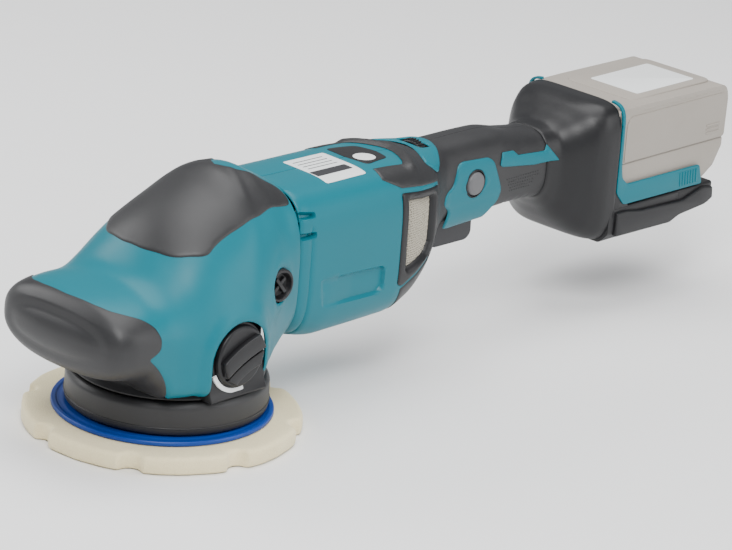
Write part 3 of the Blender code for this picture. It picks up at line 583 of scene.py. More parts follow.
def studTree():
    if "studField" in bpy.data.node_groups:
        return bpy.data.node_groups["studField"]
    tree, start, end = newTree("studField", [("Radius", "NodeSocketFloat", 0.0006), ("Rings", "NodeSocketInt", 5)])
    ball = tree.nodes.new("GeometryNodeMeshUVSphere")
    ball.inputs["Segments"].default_value = 8
    spread = tree.nodes.new("GeometryNodeInstanceOnPoints")
    tree.links.new(start.outputs["Radius"], ball.inputs["Radius"])
    tree.links.new(start.outputs["Rings"], ball.inputs["Rings"])
    tree.links.new(start.outputs["Geometry"], spread.inputs["Points"])
    tree.links.new(ball.outputs[0], spread.inputs["Instance"])
    return ended(tree, spread.outputs[0], end)


def grown(item, tree, **values):
    change = item.modifiers.new("grown", "NODES")
    change.node_group = tree
    sockets = {socket.name: socket.identifier for socket in tree.interface.items_tree
               if socket.item_type == "SOCKET" and socket.in_out == "INPUT"}
    for label, value in values.items():
        change[sockets[label]] = value
    return settled(item)


# Pad and backing plate
padShape = {"radius": 79.0, "thickness": 10.0, "notches": 8, "notchRadius": 7.0, "notchCentre": 80.4,
            "firstNotch": 33.2, "edgeRound": 1.6, "crown": 2.4, "waviness": 0.22, "steps": 900}


def padEdge(angle):
    shape = padShape
    apart = (angle - radians(shape["firstNotch"]) + pi / shape["notches"]) % (2 * pi / shape["notches"])
    apart -= pi / shape["notches"]
    across = shape["notchCentre"] * np.sin(apart)
    depth = np.sqrt(np.maximum(shape["notchRadius"]**2 - across**2, 0))
    bitten = np.where(np.abs(across) < shape["notchRadius"], shape["notchCentre"] * np.cos(apart) - depth, 1e3)
    edge = np.minimum(shape["radius"], bitten)
    for _ in range(3):
        edge = (np.roll(edge, 1) + edge + np.roll(edge, -1)) / 3
    wave = np.sin(7 * angle + 0.6) + 0.6 * np.sin(17 * angle + 2.1) + 0.4 * np.sin(31 * angle)
    return edge + shape["waviness"] * (wave - 1.6)


def makePad():
    shape = padShape
    angle = np.linspace(0, 2 * pi, shape["steps"], endpoint=False)
    edge = padEdge(angle)
    top, corner = shape["thickness"], shape["edgeRound"]
    rings = [np.stack([share * edge * np.cos(angle), share * edge * np.sin(angle), np.zeros_like(angle)], 1)
             for share in (0.12, 0.3, 0.5, 0.7, 0.85, 0.95)]
    bends = [radians(a) for a in (0, 22, 45, 68, 90)]
    inset, lift = ([corner * (1 - way(a)) for a in bends] for way in (sin, cos))
    crown = [(shape["crown"] * 1.3 * (1 - cos(a)), shape["crown"] * (1 - sin(a))) for a in bends]
    for gap, z in zip(inset, lift):
        rings.append(np.stack([(edge - gap) * np.cos(angle), (edge - gap) * np.sin(angle), angle * 0 + z], 1))
    for z in (2.6, 3.7, 4.8):
        bulge = 0.3 * sin(pi * z / top)
        rings.append(np.stack([(edge + bulge) * np.cos(angle), (edge + bulge) * np.sin(angle), angle * 0 + z], 1))
    for gap, z in crown:
        rings.append(np.stack([(edge - gap) * np.cos(angle), (edge - gap) * np.sin(angle), angle * 0 + top - z], 1))
    for share in (0.9, 0.86, 0.8, 0.7, 0.5, 0.25):
        dimple = 0.12 * np.sin(23 * angle + 9 * share) * (share > 0.8)
        rings.append(np.stack([share * edge * np.cos(angle), share * edge * np.sin(angle), top - 0.1 + dimple * 0.5],
                              1))
    count = len(angle)
    points = np.concatenate(rings)
    faces = [tuple(reversed(range(count)))]
    for row in range(len(rings) - 1):
        for k in range(count):
            a, b = row * count + k, row * count + (k + 1) % count
            faces.append((a, b, b + count, a + count))
    faces.append(tuple(range((len(rings) - 1) * count, len(rings) * count)))
    pad = outward(shell("foamPad", points, faces))
    fitted(pad, "pad", "foam", finishes["foam"], "foam_pad")
    plate = turned("backingPlate", [(11, 12.2), (20, 12.2), (21, 12.7), (56, 12.7), (57.5, 12.2), (59, 12.2),
                                    (60, 12.9),
                                    (62.2, 12.9), (62.7, 12.0), (62.7, 10.6), (62.2, 10.3), (11, 10.3)], steps=160)
    fitted(plate, "pad", "blue_plastic", finishes["blue_plastic"], "backing_pad")
    print("scene: pad and backing plate")


# Skirt, barrel, mode knob
knobPlace = {"x": 0.0, "z": 57.0, "radius": 18.0, "face": 59.0, "grip": 62.6, "lean": 24}


def makeLowerHead():
    axis = (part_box("skirt")[0].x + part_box("skirt")[1].x) / 2 / mm
    skirt = turned("padSkirt", [(49, 33), (51.6, 33), (55.2, 32.4), (57.3, 29.4), (57.5, 16.4), (57.0, 13.8),
                                (55.2, 13.8),
                                (54.4, 15.2), (54.2, 28.4), (52.4, 30), (49, 30)], (axis, 0, 0), steps=160,
                                rounding=1.4)
    lip = turned("skirtLip", [(57.1, 18.6), (57.9, 18.3), (57.9, 17.5), (57.1, 17.2)], (axis, 0, 0), steps=160,
                 rounding=0.3)
    fitted(joined("padSkirt", [skirt, lip]), "housing", "black_rubber", finishes["black_rubber"], "skirt")
    low = turned("barrelFoot", [(48.6, 42.4), (51.4, 42.4), (52.6, 38), (54.6, 34.2), (54.4, 33.3), (48.6, 33.3)],
                 (axis, 0, 0), steps=160, rounding=0.8)
    high = turned("barrel", [(48.6, 80), (50.2, 80), (50.5, 79.7), (50.5, 42), (48.6, 42)], (axis, 0, 0), steps=90,
                  rounding=0.3, sweep=(38, 322))
    rear = turned("barrelRear", [(42.5, 84), (44, 84), (44, 49), (42.5, 49)], (0, 0, 0), steps=40, rounding=0.3,
                  sweep=(-48, 48))
    boss = turned("knobBoss", [(5.4, -55.5), (19.0, -55.5), (19.6, -55.0), (20.8, -51), (20.8, -40), (5.4, -40)],
                  (knobPlace["x"], 0, knobPlace["z"]), "Y", 72, 0.4)
    apron = slab("apron", [(-47, 33.4), (-57.6, 33.4), (-57.9, 34.4), (-56.6, 36.4), (-55.4, 40), (-55.2, 49),
                           (-47, 49)],
                 -20.4, 22.4, 1.6, "X", 4)
    crescent = turned("markArc", [(18.4, -56.6), (21.0, -56.6), (21.0, -55.0), (18.4, -55.0)],
                      (knobPlace["x"], 0, knobPlace["z"]), "Y", 40, 0.15, sweep=(205, 284))
    fitted(joined("knobHousing", [low, high, rear, boss, apron]), "housing", "black_plastic",
           finishes["black_plastic"],
           "mode_housing")
    fitted(crescent, "housing", "plate_white", finishes["plate_white"])
    makeKnob()
    print("scene: skirt, barrel and mode knob")


def makeKnob():
    centre = (knobPlace["x"], 0, knobPlace["z"])
    face, radius, lean = knobPlace["face"], knobPlace["radius"], radians(knobPlace["lean"])
    disc = turned("knobDisc", [(0, -49.2), (5, -49.2), (5, -55.8), (radius - 0.4, -55.8), (radius, -56.2),
                               (radius - 0.4, -58.2), (radius - 1.6, -face), (0, -face)], centre, "Y", 96, 0.5, False)
    parts = [disc]
    for low, high, rise in ((-3.2, 6.4, 0.0), (-12.5, -5.4, -1.9)):
        reach = radius - 1.8
        outline = []
        for start, stop, height in ((-1, 1, low), (1, -1, high)):
            for k in range(13):
                share = start + (stop - start) * k / 12
                bow = 1.6 * (1 - share * share)
                v = height + bow
                u = share * sqrt(max(reach**2 - v * v, 1))
                outline.append((centre[0] + u * cos(lean) - v * sin(lean), centre[2] + u * sin(lean) + v * cos(lean)))
        parts.append(slab("knobGrip", outline, -face + 0.4, -knobPlace["grip"] - rise, 0.9, "Y", 3))
    fitted(joined("modeKnob", parts), "mode_knob", "black_plastic", finishes["black_plastic"], "mode_knob")


# Head: teal cover, rubber cap, nose grip and side plugs
headShape = {"arch": 21.0, "archZ": 56.0, "collar": 2.6, "collarWidth": 7.5, "socket": (41.0, 86.0),
             "socketRadius": 9.9,
             "capLift": 0.7, "noseLift": 0.5, "lowEdge": 1.2}
capLine = [(-31, 0), (-31, -9), (-26, -27), (-11.6, -38.6), (-3.5, -37), (9.3, -36.8), (30, -36), (61, -31.8),
           (59.4, -21), (50.3, -15.5), (37.2, -11), (30, 0)]
noseLine = [(-78.2, 90), (-78.2, 100), (-77.6, 78), (-77.0, 66), (-74.5, 54), (-69, 46), (-62, 38), (-56.6, 28),
            (-54.2, 16),
            (-55.4, 4), (-60, -4), (-63.4, -8), (-60.5, -14), (-55.0, -24), (-50, -34), (-44.5, -47), (-43.4, -62),
            (-43.0, -90)]


def archLine(radius):
    points = [(-radius, 25), (-radius, headShape["archZ"])]
    for k in range(1, 16):
        angle = pi - pi * k / 16
        points.append((radius * cos(angle), headShape["archZ"] + radius * sin(angle)))
    return points + [(radius, headShape["archZ"]), (radius, 25)]


def circleLine(centre, radius, count=40):
    return [(centre[0] + radius * cos(2 * pi * k / count), centre[1] + radius * sin(2 * pi * k / count))
            for k in range(count)]


def noseEdgeAt(turn):
    across = degrees(turn)
    across = across if across <= 90 else 180 - across
    line = sorted((angle, x) for x, angle in noseLine if angle <= 90)
    return float(np.interp(across, [angle for angle, _ in line], [x for _, x in line]))


def makeNose():
    turns = np.radians(np.linspace(-90, 270, 181)[:-1])
    edge = np.array([noseEdgeAt(turn) for turn in turns])
    for _ in range(2):
        edge = (np.roll(edge, 1) + edge * 2 + np.roll(edge, -1)) / 4
    place, front, lift = onSkin(headSkin), float(headSkin[0, 0]), headShape["noseLift"]
    rings = []
    tip = skinPoint(headSkin, np.full(len(turns), front + 0.01), turns)
    middle = tip.mean(0)
    for share, bulge in ((0.12, 3.6), (0.35, 3.3), (0.6, 2.6), (0.8, 1.7), (0.93, 0.75)):
        ring = middle + (tip - middle) * share
        ring[:, 0] = front - bulge
        rings.append(ring)
    for share in np.concatenate([np.linspace(0, 1, 34)[:-1]**1.25]):
        x = front + 0.3 + (edge - 0.9 - front - 0.3) * share
        spots = np.stack([x, np.degrees(turns) * arc], 1)
        rings.append(place(spots, lift * min(1, share * 6)))
    for inset, rise in ((0.9, 1.0), (0.45, 0.82), (0.12, 0.35), (0.0, -0.6), (0.0, -2.4)):
        spots = np.stack([edge - inset, np.degrees(turns) * arc], 1)
        rings.append(place(spots, lift * rise if rise > 0 else rise))
    nose = ringSkin("noseGrip", rings, 0, closeStart=True)
    fitted(nose, "housing", "black_rubber", finishes["black_rubber"], "nose_grip")


def coverRelief(spots):
    around = distanceTo(spots, [headShape["archSpots"]], False)
    share = np.clip(1 - around / headShape["collarWidth"], 0, 1)
    rise = headShape["collar"] * share**1.3 * (3 - 2 * share) * 0.55
    for centre in headShape["socketSpots"]:
        gap = np.linalg.norm(spots - centre, axis=1) - headShape["socketRadius"]
        rise = rise + 0.5 * np.exp(-(np.maximum(gap, 0) / 2.0)**2)
    seam = spots[:, 0] - float(headSkin[-1, 0])
    return rise - 0.9 * np.clip(1 + seam / 1.6, 0, 1)**2


def makeHead():
    x1 = float(headSkin[-1, 0])
    edges = []
    for x in np.arange(-43, x1 + 0.1, 3.0):
        low = stationAt(headSkin, np.array([x]))[0][1]
        edges.append((x, low + headShape["lowEdge"]))
    lowLeft = [spot for spot in sideLine(headSkin, edges)]
    arch = sideLine(headSkin, denser(archLine(headShape["arch"]), 1.6, False))
    headShape["archSpots"] = arch
    lowLeft = [spot for spot in lowLeft if abs(spot[0]) > headShape["arch"]]
    front = [spot for spot in lowLeft if spot[0] < 0] + [spot for spot in arch if spot[1] > lowLeft[0][1]]
    left = front + [spot for spot in lowLeft if spot[0] > 0]
    lowRight = flipped(sideLine(headSkin, edges))
    right = list(reversed(lowRight))
    nose = [(noseEdgeAt(radians(angle)) - 3.0, angle * arc) for angle in range(228, -48, -4)]
    nose = [spot for spot in nose if left[0][1] + 1 < spot[1] < right[-1][1] - 1]
    outline = denser(left + right + nose, 1.4)
    sockets = [sideLine(headSkin, circleLine(headShape["socket"], headShape["socketRadius"]), side) for side in (-1,
        1)]
    headShape["socketSpots"] = [np.mean(ring, 0) for ring in sockets]
    cover = sheet("headCover", onSkin(headSkin), [outline] + sockets, 1.9, 0.7, 1.1, 2.6, 0.0, coverRelief)
    fitted(cover, "housing", "teal", finishes["teal"], "head_cover")
    half = softened(topLine(headSkin, capLine), 6, 1.2, False)
    other = [(x, 180 * arc - turn) for x, turn in reversed(half[1:-1])]
    ridge = topLine(headSkin, denser([(33, -9), (30, -18), (27, -27)], 1.5, False))

    def capRelief(spots):
        crest = distanceTo(spots, [ridge, flipped(ridge)], False)
        return 0.5 * np.exp(-(crest / 2.2)**2)

    cap = sheet("headCap", onSkin(headSkin), [denser(half + other, 1.2)], 1.6, 0.9, 1.2, 2.0, headShape["capLift"],
                capRelief)
    fitted(cap, "housing", "black_rubber", finishes["black_rubber"], "head_cap")
    makeNose()
    for side, sign in (("left", -1), ("right", 1)):
        x, z = headShape["socket"]
        profile = [(0, 43.5), (6.4, 43.5), (7.2, 45.2), (7.8, 46.9), (9.0, 46.9), (9.7, 46.2), (9.7, 38.5), (0, 38.5)]
        cup = turned("plugCup", [(r, sign * h) for r, h in profile], (x, 0, z), "Y", 72, 0.4, False)
        bars = []
        for lean in (40, 130):
            c, s = cos(radians(lean)), sin(radians(lean))
            outline = [(x + u * c - v * s, z + u * s + v * c) for u, v in ((-5.6, -1.0), (5.6, -1.0), (5.6, 1.0),
                (-5.6, 1.0))]
            bars.append(slab("plugCross", outline, sign * 43.1, sign * (45.0 + 0.01 * lean), 0.35))
        fitted(joined("sidePlug_" + side, [cup] + bars), "housing", "black_plastic", finishes["black_plastic"],
               "side_plug_" + side)
    print("scene: head")


# Motor housing: teal halves, pockets, vent frames, filters and the black rear wrap
motorShape = {"seam": 71.6, "labelLift": 0.3, "wireGap": 1.5, "wireRadius": 0.33}
ventFrame = [(146, 117), (185.4, 112.8), (185.4, 84), (178.5, 73.6), (150, 60.2), (146, 62)]
ventHole = [(153, 111.6), (178.6, 108.2), (178.6, 80), (173, 74.6), (153.6, 69.8)]
rearLow = [(149.6, 58.6), (179.4, 71.8), (185.7, 81), (185.7, 50), (149.6, 30)]
pockets = [[(63.2, 121.2), (74, 119.4), (74, 117.2), (63.2, 118.0)], [(63.2, 109.0), (74, 108.4), (74, 105.9),
    (63.2, 105.9)]]
sidePanel = [(80.8, 78.6), (131.2, 76.4), (133.6, 74.5), (133.6, 64), (130.4, 60.4), (84, 61.6)]


def surfaceLine(points, side=-1, radius=1.5, closed=True):
    line = sideLine(bodySkin, softened(points, radius, 1.0, closed))
    return line if side < 0 else flipped(line)


def housingRelief(spots):
    spots = np.where(spots[:, 1:] > 90 * arc, np.stack([spots[:, 0], 180 * arc - spots[:, 1]], 1), spots)
    rise = -pocket(spots, surfaceLine(pockets[0], radius=0.8), 3.2, 0.8)
    rise -= pocket(spots, surfaceLine(pockets[1], radius=0.8), 3.2, 0.8)
    fade = np.clip((spots[:, 0] - 80) / 28, 0.3, 1)
    rise -= pocket(spots, surfaceLine(sidePanel, radius=2.5), 2.0, 1.2) * fade
    below = np.clip((105 * arc * 0.3 - spots[:, 1]) / 2, 0, 1)
    rise -= 0.9 * np.exp(-((spots[:, 0] - motorShape["seam"]) / 0.7)**2) * below
    rise -= 0.5 * np.clip((motorShape["seam"] - spots[:, 0]) / 1.2, 0, 1) * below
    return rise - 0.8 * np.clip(1 - (spots[:, 0] - 62.6) / 1.5, 0, 1)**2


def makeHousing():
    place = onSkin(bodySkin)
    for side, sign in (("left", -1), ("right", 1)):
        turnBack = (lambda line: line) if sign < 0 else flipped
        frameLine = turnBack(surfaceLine([(x + 0.3 * (x < 160) - 0.3, z) for x, z in ventFrame], radius=2))
        outline = turnBack(denser([(62.6, -89.7 * arc), (186, -89.7 * arc), (186, 89.8 * arc), (62.6, 89.8 * arc)],
                                  1.6))
        creases = [turnBack(surfaceLine(line, radius=0.8)) for line in pockets + [sidePanel]]
        creases = [line + line[:1] for line in creases]
        creases.append(turnBack([(motorShape["seam"], angle * arc) for angle in range(-80, 30, 2)]))
        half = sheet("motorHousing_" + side, place, [outline, frameLine], 2.0, 0.25, 0.7, 2.4, 0.0, housingRelief,
                     creases)
        fitted(half, "housing", "teal", finishes["teal"], "motor_housing_" + side)
        makeVent(side, turnBack)
    makeRearWrap()
    makeTopPlates()
    print("scene: motor housing")


def widened(points, wide, tall):
    x, z = np.mean(points, 0)
    return [(x + wide * (a - x), z + tall * (b - z)) for a, b in points]


def makeVent(side, turnBack):
    place = onSkin(bodySkin)
    outer = turnBack(surfaceLine([(x, z) for x, z in ventFrame], radius=2))
    hole = turnBack(surfaceLine(ventHole, radius=1.2))

    def bevelIn(spots):
        inner = distanceTo(spots, [hole])
        return 0.5 - 3.2 * np.clip(1 - inner / 2.6, 0, 1)**1.4

    frameSheet = sheet("ventFrame_" + side, place, [outer, hole], 1.3, 0.5, 0.7, 2.0, 0.0, bevelIn)
    fitted(frameSheet, "housing", "black_plastic", finishes["black_plastic"], "dust_cover_" + side)
    backing = sheet("filterBack_" + side, place, [turnBack(surfaceLine(widened(ventHole, 1.14, 1.08), radius=1.2))],
                    2.5, 0, 0.5, 0.6, -4.4)
    wires = filterWires(side, turnBack)
    fitted(joined("dustFilter_" + side, [backing, wires]), "housing", "mesh_grey", finishes["mesh_grey"],
           "dust_filter_" + side)


def filterWires(side, turnBack):
    gap = motorShape["wireGap"]
    form = bmesh.new()
    lines = [[(x, z) for z in np.arange(69, 114, 1.2)] for x in np.arange(152.4, 181, gap)]
    lines += [[(x, z) for x in np.arange(151.4, 181, 1.2)] for z in np.arange(69.6, 114, gap)]
    hole = [tuple(spot) for spot in softened(widened(ventHole, 1.14, 1.08), 1.2)]
    for number, line in enumerate(lines):
        inside = insideOf(np.array(line), [hole])
        line = [point for point, keep in zip(line, inside) if keep]
        if len(line) < 3:
            continue
        spots = np.array(turnBack(sideLine(bodySkin, line)))
        weave = 0.22 * np.cos(np.arange(len(spots)) * pi * 1.2 / gap + (number % 2) * pi)
        points = onSkin(bodySkin)(spots, -3.6 + weave) * mm
        nodes = [form.verts.new(point) for point in points]
        for a, b in zip(nodes, nodes[1:]):
            form.edges.new((a, b))
    mesh = bpy.data.meshes.new("filterWires_" + side)
    form.to_mesh(mesh)
    form.free()
    item = bpy.data.objects.new("filterWires_" + side, mesh)
    bpy.context.scene.collection.objects.link(item)
    return grown(item, wireTree(), Radius=motorShape["wireRadius"] * mm)


def makeRearWrap():
    place = onSkin(bodySkin)
    wrap = []
    for side in (-1, 1):
        low = sideLine(bodySkin, softened(rearLow[:3], 2, 1.2, False))
        end = [(185.9, low[-1][1]), (185.9, -89.6 * arc), (149.6, -89.6 * arc)]
        line = denser(low + end, 1.4)
        wrap.append(sheet("rearWrapLow", place, [line if side < 0 else flipped(line)], 2.0, 0.5, 0.9, 1.2, 0.55))
    ridgeFront = [(172, 0), (170.6, -6), (167.5, -13), (163, -20.5)]
    wedge = [(160, -23.4), (150, -23.0), (136, -22.4)]
    lower = [(134.6, 125.6), (147, 119.6), (160, 118.2), (174, 116.4), (185.9, 114.6)]
    half = topLine(bodySkin, denser(ridgeFront + wedge, 1.2, False)) + sideLine(bodySkin, denser(lower, 1.2, False))
    outline = half + [(185.9, 89 * arc), (185.9, 91 * arc)] + list(reversed(flipped(half)))[:-1]
    ridge = topLine(bodySkin, denser([(177, 0), (175.5, -6), (172.5, -13), (168, -21), (164, -27)], 1.5, False))

    def ridgeRelief(spots):
        crest = distanceTo(spots, [ridge, flipped(ridge)], False)
        return 2.0 * np.exp(-(crest / 3.4)**2)

    wrap.append(sheet("rearWrapTop", place, [denser(outline, 1.4)], 1.8, 0.5, 0.9, 1.2, 0.55, ridgeRelief))
    fitted(joined("rearWrap", wrap), "housing", "black_rubber", finishes["black_rubber"])


def topPatch(name, points, radius, lift, wall=0.5, roll=0.2, step=2.0, relief=None):
    line = topLine(bodySkin, softened(points, radius, 1.0))
    return sheet(name, onSkin(bodySkin), [line], step, roll, 0.5, wall, lift, relief)


def makeTopPlates():
    lift = motorShape["labelLift"]
    label = topPatch("ratingLabel", [(95, -25.5), (128.5, -25), (130.5, 12), (97, 12)], 2, lift)
    fitted(label, "housing", "plate_white", finishes["plate_white"], "rating_plate")
    bands = [topPatch("labelBand", [(96, -17.5), (125, -17.2), (125, -10.2), (96, -10.4)], 0.5, lift + 0.12, 0.3,
                      0.05)]
    for y in (-6, -2, 2, 6):
        bands.append(topPatch("labelRule", [(100, y), (124, y), (124, y + 0.7), (100, y + 0.7)], 0.2, lift + 0.1,
                              0.3, 0.02))
    fitted(joined("labelBands", bands), "housing", "dark_grey", finishes["dark_grey"])
    recess = topPatch("indicatorRecess", [(137.5, -17), (159, -13), (162.5, 0), (159, 13), (137.5, 17), (135.5, 0)],
                      4, 0.25)
    fitted(recess, "housing", "black_plastic", finishes["black_plastic"], "indicator_panel")
    oval = [(145.5 + 7.2 * cos(2 * pi * k / 48), -6.8 + 6.2 * sin(2 * pi * k / 48)) for k in range(48)]
    disc = topPatch("indicatorOval", oval, 0.5, 0.7)
    fitted(disc, "housing", "plate_white", finishes["plate_white"])


# Handle: rubber halves, inserts, arrow strips, bezel, dial, trigger and lock button
handleShape = {"start": 186.2, "end": 296.2, "dial": 195.0, "dialHalf": 4.3, "dialReach": 9.5, "guard": 3.2,
               "insertLift": 1.0, "stripLift": 0.9}
insertLine = [(214.6, 115.6), (218.5, 117), (242, 115.6), (246.6, 112.6), (255.2, 93), (254, 87.5), (243.2, 78.4),
              (207.4, 79.4), (208.8, 88.5), (201.2, 94.6), (202.4, 99.4), (210, 103.6)]
arrowLine = [(252, 109), (254.2, 116.2), (264.6, 115.4), (269, 111.9), (289, 110.2), (293.6, 110), (296.6, 113.2),
             (305.6, 102.6), (283, 103.4), (254, 107.6)]


def makeHandle():
    place = onSkin(bodySkin)
    start, end = handleShape["start"], handleShape["end"]
    for side, sign in (("left", -1), ("right", 1)):
        turnBack = (lambda line: line) if sign < 0 else flipped
        top, low = 89.8 * arc, -89.8 * arc
        halfWay = sideLine(bodySkin, [(204, 77.2)])[0][1]
        dialTurn = topLine(bodySkin, [(handleShape["dial"], -handleShape["dialReach"])])[0][1]
        outline = [(start, low), (203.6, low), (203.6, halfWay), (249.8, halfWay), (249.8, low), (end, low),
                   (end, top),
                   (handleShape["dial"] + handleShape["dialHalf"], top),
                   (handleShape["dial"] + handleShape["dialHalf"], dialTurn),
                   (handleShape["dial"] - handleShape["dialHalf"], dialTurn),
                   (handleShape["dial"] - handleShape["dialHalf"], top), (start, top)]
        holes = [sideLine(bodySkin, circleLine((230, 102), 8.8))] if sign < 0 else []

        def gripRelief(spots):
            grooves = np.zeros(len(spots))
            for x in (268, 276, 284):
                grooves += np.exp(-((spots[:, 0] - x) / 1.1)**2)
            underside = np.clip((-30 - np.minimum(spots[:, 1], 180 * arc - spots[:, 1])) / 10, 0, 1)
            return -0.7 * grooves * underside

        half = sheet("grip_" + side, place, [turnBack(denser(outline, 1.6))] + holes, 1.9, 0.3, 0.6, 2.4, 0.0,
                     gripRelief)
        fitted(half, "housing", "black_rubber", finishes["black_rubber"], "grip_" + side)
        makeInsert(side, sign, turnBack)
        makeStrip(side, turnBack)
    makeDial()
    makeTrigger()
    print("scene: handle")


def makeInsert(side, sign, turnBack):
    outline = turnBack(surfaceLine(insertLine, radius=2.4))
    loops = [outline]
    spot = np.array(sideLine(bodySkin, [(230, 102)])[0])
    if sign < 0:
        loops.append(sideLine(bodySkin, circleLine((230, 102), 8.2, 56)))

    def guardRelief(spots):
        level = np.where(spots[:, 1] > 90 * arc, 180 * arc - spots[:, 1], spots[:, 1])
        low = np.clip((-20 - level) / 22, 0, 1)
        rim = np.exp(-((np.hypot(spots[:, 0] - spot[0], level - spot[1]) - 10.2) / 1.3)**2)
        return handleShape["guard"] * low**1.5 + 0.5 * rim * (sign < 0)

    piece = sheet("handleInsert_" + side, onSkin(bodySkin), loops, 1.5, 0.9, 1.1, 2.2, handleShape["insertLift"],
                  guardRelief)
    fitted(piece, "housing", "teal", finishes["teal"], "handle_insert_" + side)


def makeStrip(side, turnBack):
    piece = sheet("gripStrip_" + side, onSkin(bodySkin), [turnBack(surfaceLine(arrowLine, radius=0.9))], 1.2, 0.5,
                  0.7,
                  1.4, handleShape["stripLift"])
    fitted(piece, "housing", "teal", finishes["teal"], "grip_strip_" + side)
    rows = [(x + 1.1 * (row % 2), 98.5 - 2.0 * row) for row in range(5) for x in np.arange(260 + row, 290 - 2 * row,
        2.2)]
    spots = np.array(turnBack(sideLine(bodySkin, rows)))
    mesh = bpy.data.meshes.new("gripStuds_" + side)
    mesh.from_pydata((onSkin(bodySkin)(spots, -0.1) * mm).tolist(), [], [])
    item = bpy.data.objects.new("gripStuds_" + side, mesh)
    bpy.context.scene.collection.objects.link(item)
    grown(item, studTree(), Radius=0.55 * mm)
    fitted(item, "housing", "black_rubber", finishes["black_rubber"])


def makeDial():
    x, half, reach = handleShape["dial"], handleShape["dialHalf"], handleShape["dialReach"]
    front = [(188.2, 0), (187, -6), (184, -13), (180.5, -20), (179, -25)]
    back = [(187, -27), (196, -20), (202.5, -12), (205.6, -4), (206, 0)]
    line = topLine(bodySkin, softened(front + back, 3, 1.0, False))
    outline = line + [(a, 180 * arc - b) for a, b in reversed(line[1:-1])]
    corners = [(x - half, -reach), (x + half, -reach), (x + half, reach), (x - half, reach)]
    slot = topLine(bodySkin, softened(corners, 2, 0.8))
    bezel = sheet("dialBezel", onSkin(bodySkin), [denser(outline, 1.2), slot], 1.5, 0.9, 1.2, 2.6, 1.5)
    fitted(bezel, "housing", "teal", finishes["teal"], "dial_bezel")
    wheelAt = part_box("speed_dial")
    centre = ((wheelAt[0].x + wheelAt[1].x) / 2 / mm, 0, (wheelAt[0].z + wheelAt[1].z) / 2 / mm)
    radius = (wheelAt[1].z - wheelAt[0].z) / 2 / mm
    wheel = turned("speedDial", [(0, -2.8), (radius - 1.2, -2.8), (radius - 0.4, -2.0), (radius - 0.4, 2.0),
                                 (radius - 1.2, 2.8), (0, 2.8)], centre, "X", 72, 0.4, False)
    ribs = []
    for k in range(36):
        turn = 2 * pi * k / 36
        middle = Vector((centre[0], centre[1] + (radius - 0.2) * cos(turn), centre[2] + (radius - 0.2) * sin(turn)))
        ribs.append([tuple((middle + Vector((way, 0, 0))) * mm) for way in (-2.1, -0.7, 0.7, 2.1)])
    mesh = bpy.data.meshes.new("dialRibs")
    mesh.from_pydata([spot for rib in ribs for spot in rib], [(4 * k + j,
        4 * k + j + 1) for k in range(36) for j in range(3)],
                     [])
    item = bpy.data.objects.new("dialRibs", mesh)
    bpy.context.scene.collection.objects.link(item)
    ribsMesh = grown(item, wireTree(), Radius=0.5 * mm)
    fitted(joined("speedDial", [wheel, ribsMesh]), "speed_dial", "black_plastic", finishes["black_plastic"],
           "speed_dial")


def makeTrigger():
    outline = softened([(206.5, 89.6), (206.5, 67), (210.5, 62), (240, 61.6), (244, 65), (243.6, 77), (238.5, 89.6)],
                       2.5, 1.2)
    seat = slab("springSeat", [(227, 85.4), (237, 85.4), (237, 92), (227, 92)], -4.4, 4.4, 0)
    body = slab("triggerBody", outline, -8.4, 8.4, 1.8, "Y", 4, [seat])
    pads = [slab("triggerRib", [(x, 61.4), (x + 1.6, 61.4), (x + 1.6, 62.6), (x, 62.6)], -6.2, 6.2, 0.4) for x in
            (214, 218, 222, 226, 230, 234)]
    fitted(joined("trigger", [body] + pads), "trigger", "dark_grey", finishes["dark_grey"], "trigger")
    button = turned("lockButton", [(0, -22.9), (4.5, -22.7), (6.4, -22.2), (7.1, -21.2), (7.4, -19.6), (7.4, -11.8),
                                   (0, -11.8)], (230, 0, 102), "Y", 72, 0.8, False)
    fitted(button, "lock_button", "button_grey", finishes["button_grey"], "lock_button")
    sleeve = turned("lockSleeve", [(8.1, -21.2), (8.7, -20.8), (8.7, -12.5), (7.7, -12.5), (7.7, -20.8)],
                    (230, 0, 102), "Y", 72, 0.2)
    fitted(sleeve, "housing", "black_plastic", finishes["black_plastic"])


# Battery end: flare, tray, trims and the battery itself
holderShape = {"start": 296.4, "wall": 1.3, "trayHalf": 38.4, "sill": 2.2}
batteryShape = {"x": (340.6, 447.5), "half": 36.4, "z": (70.0, 131.0), "split": 96.0}


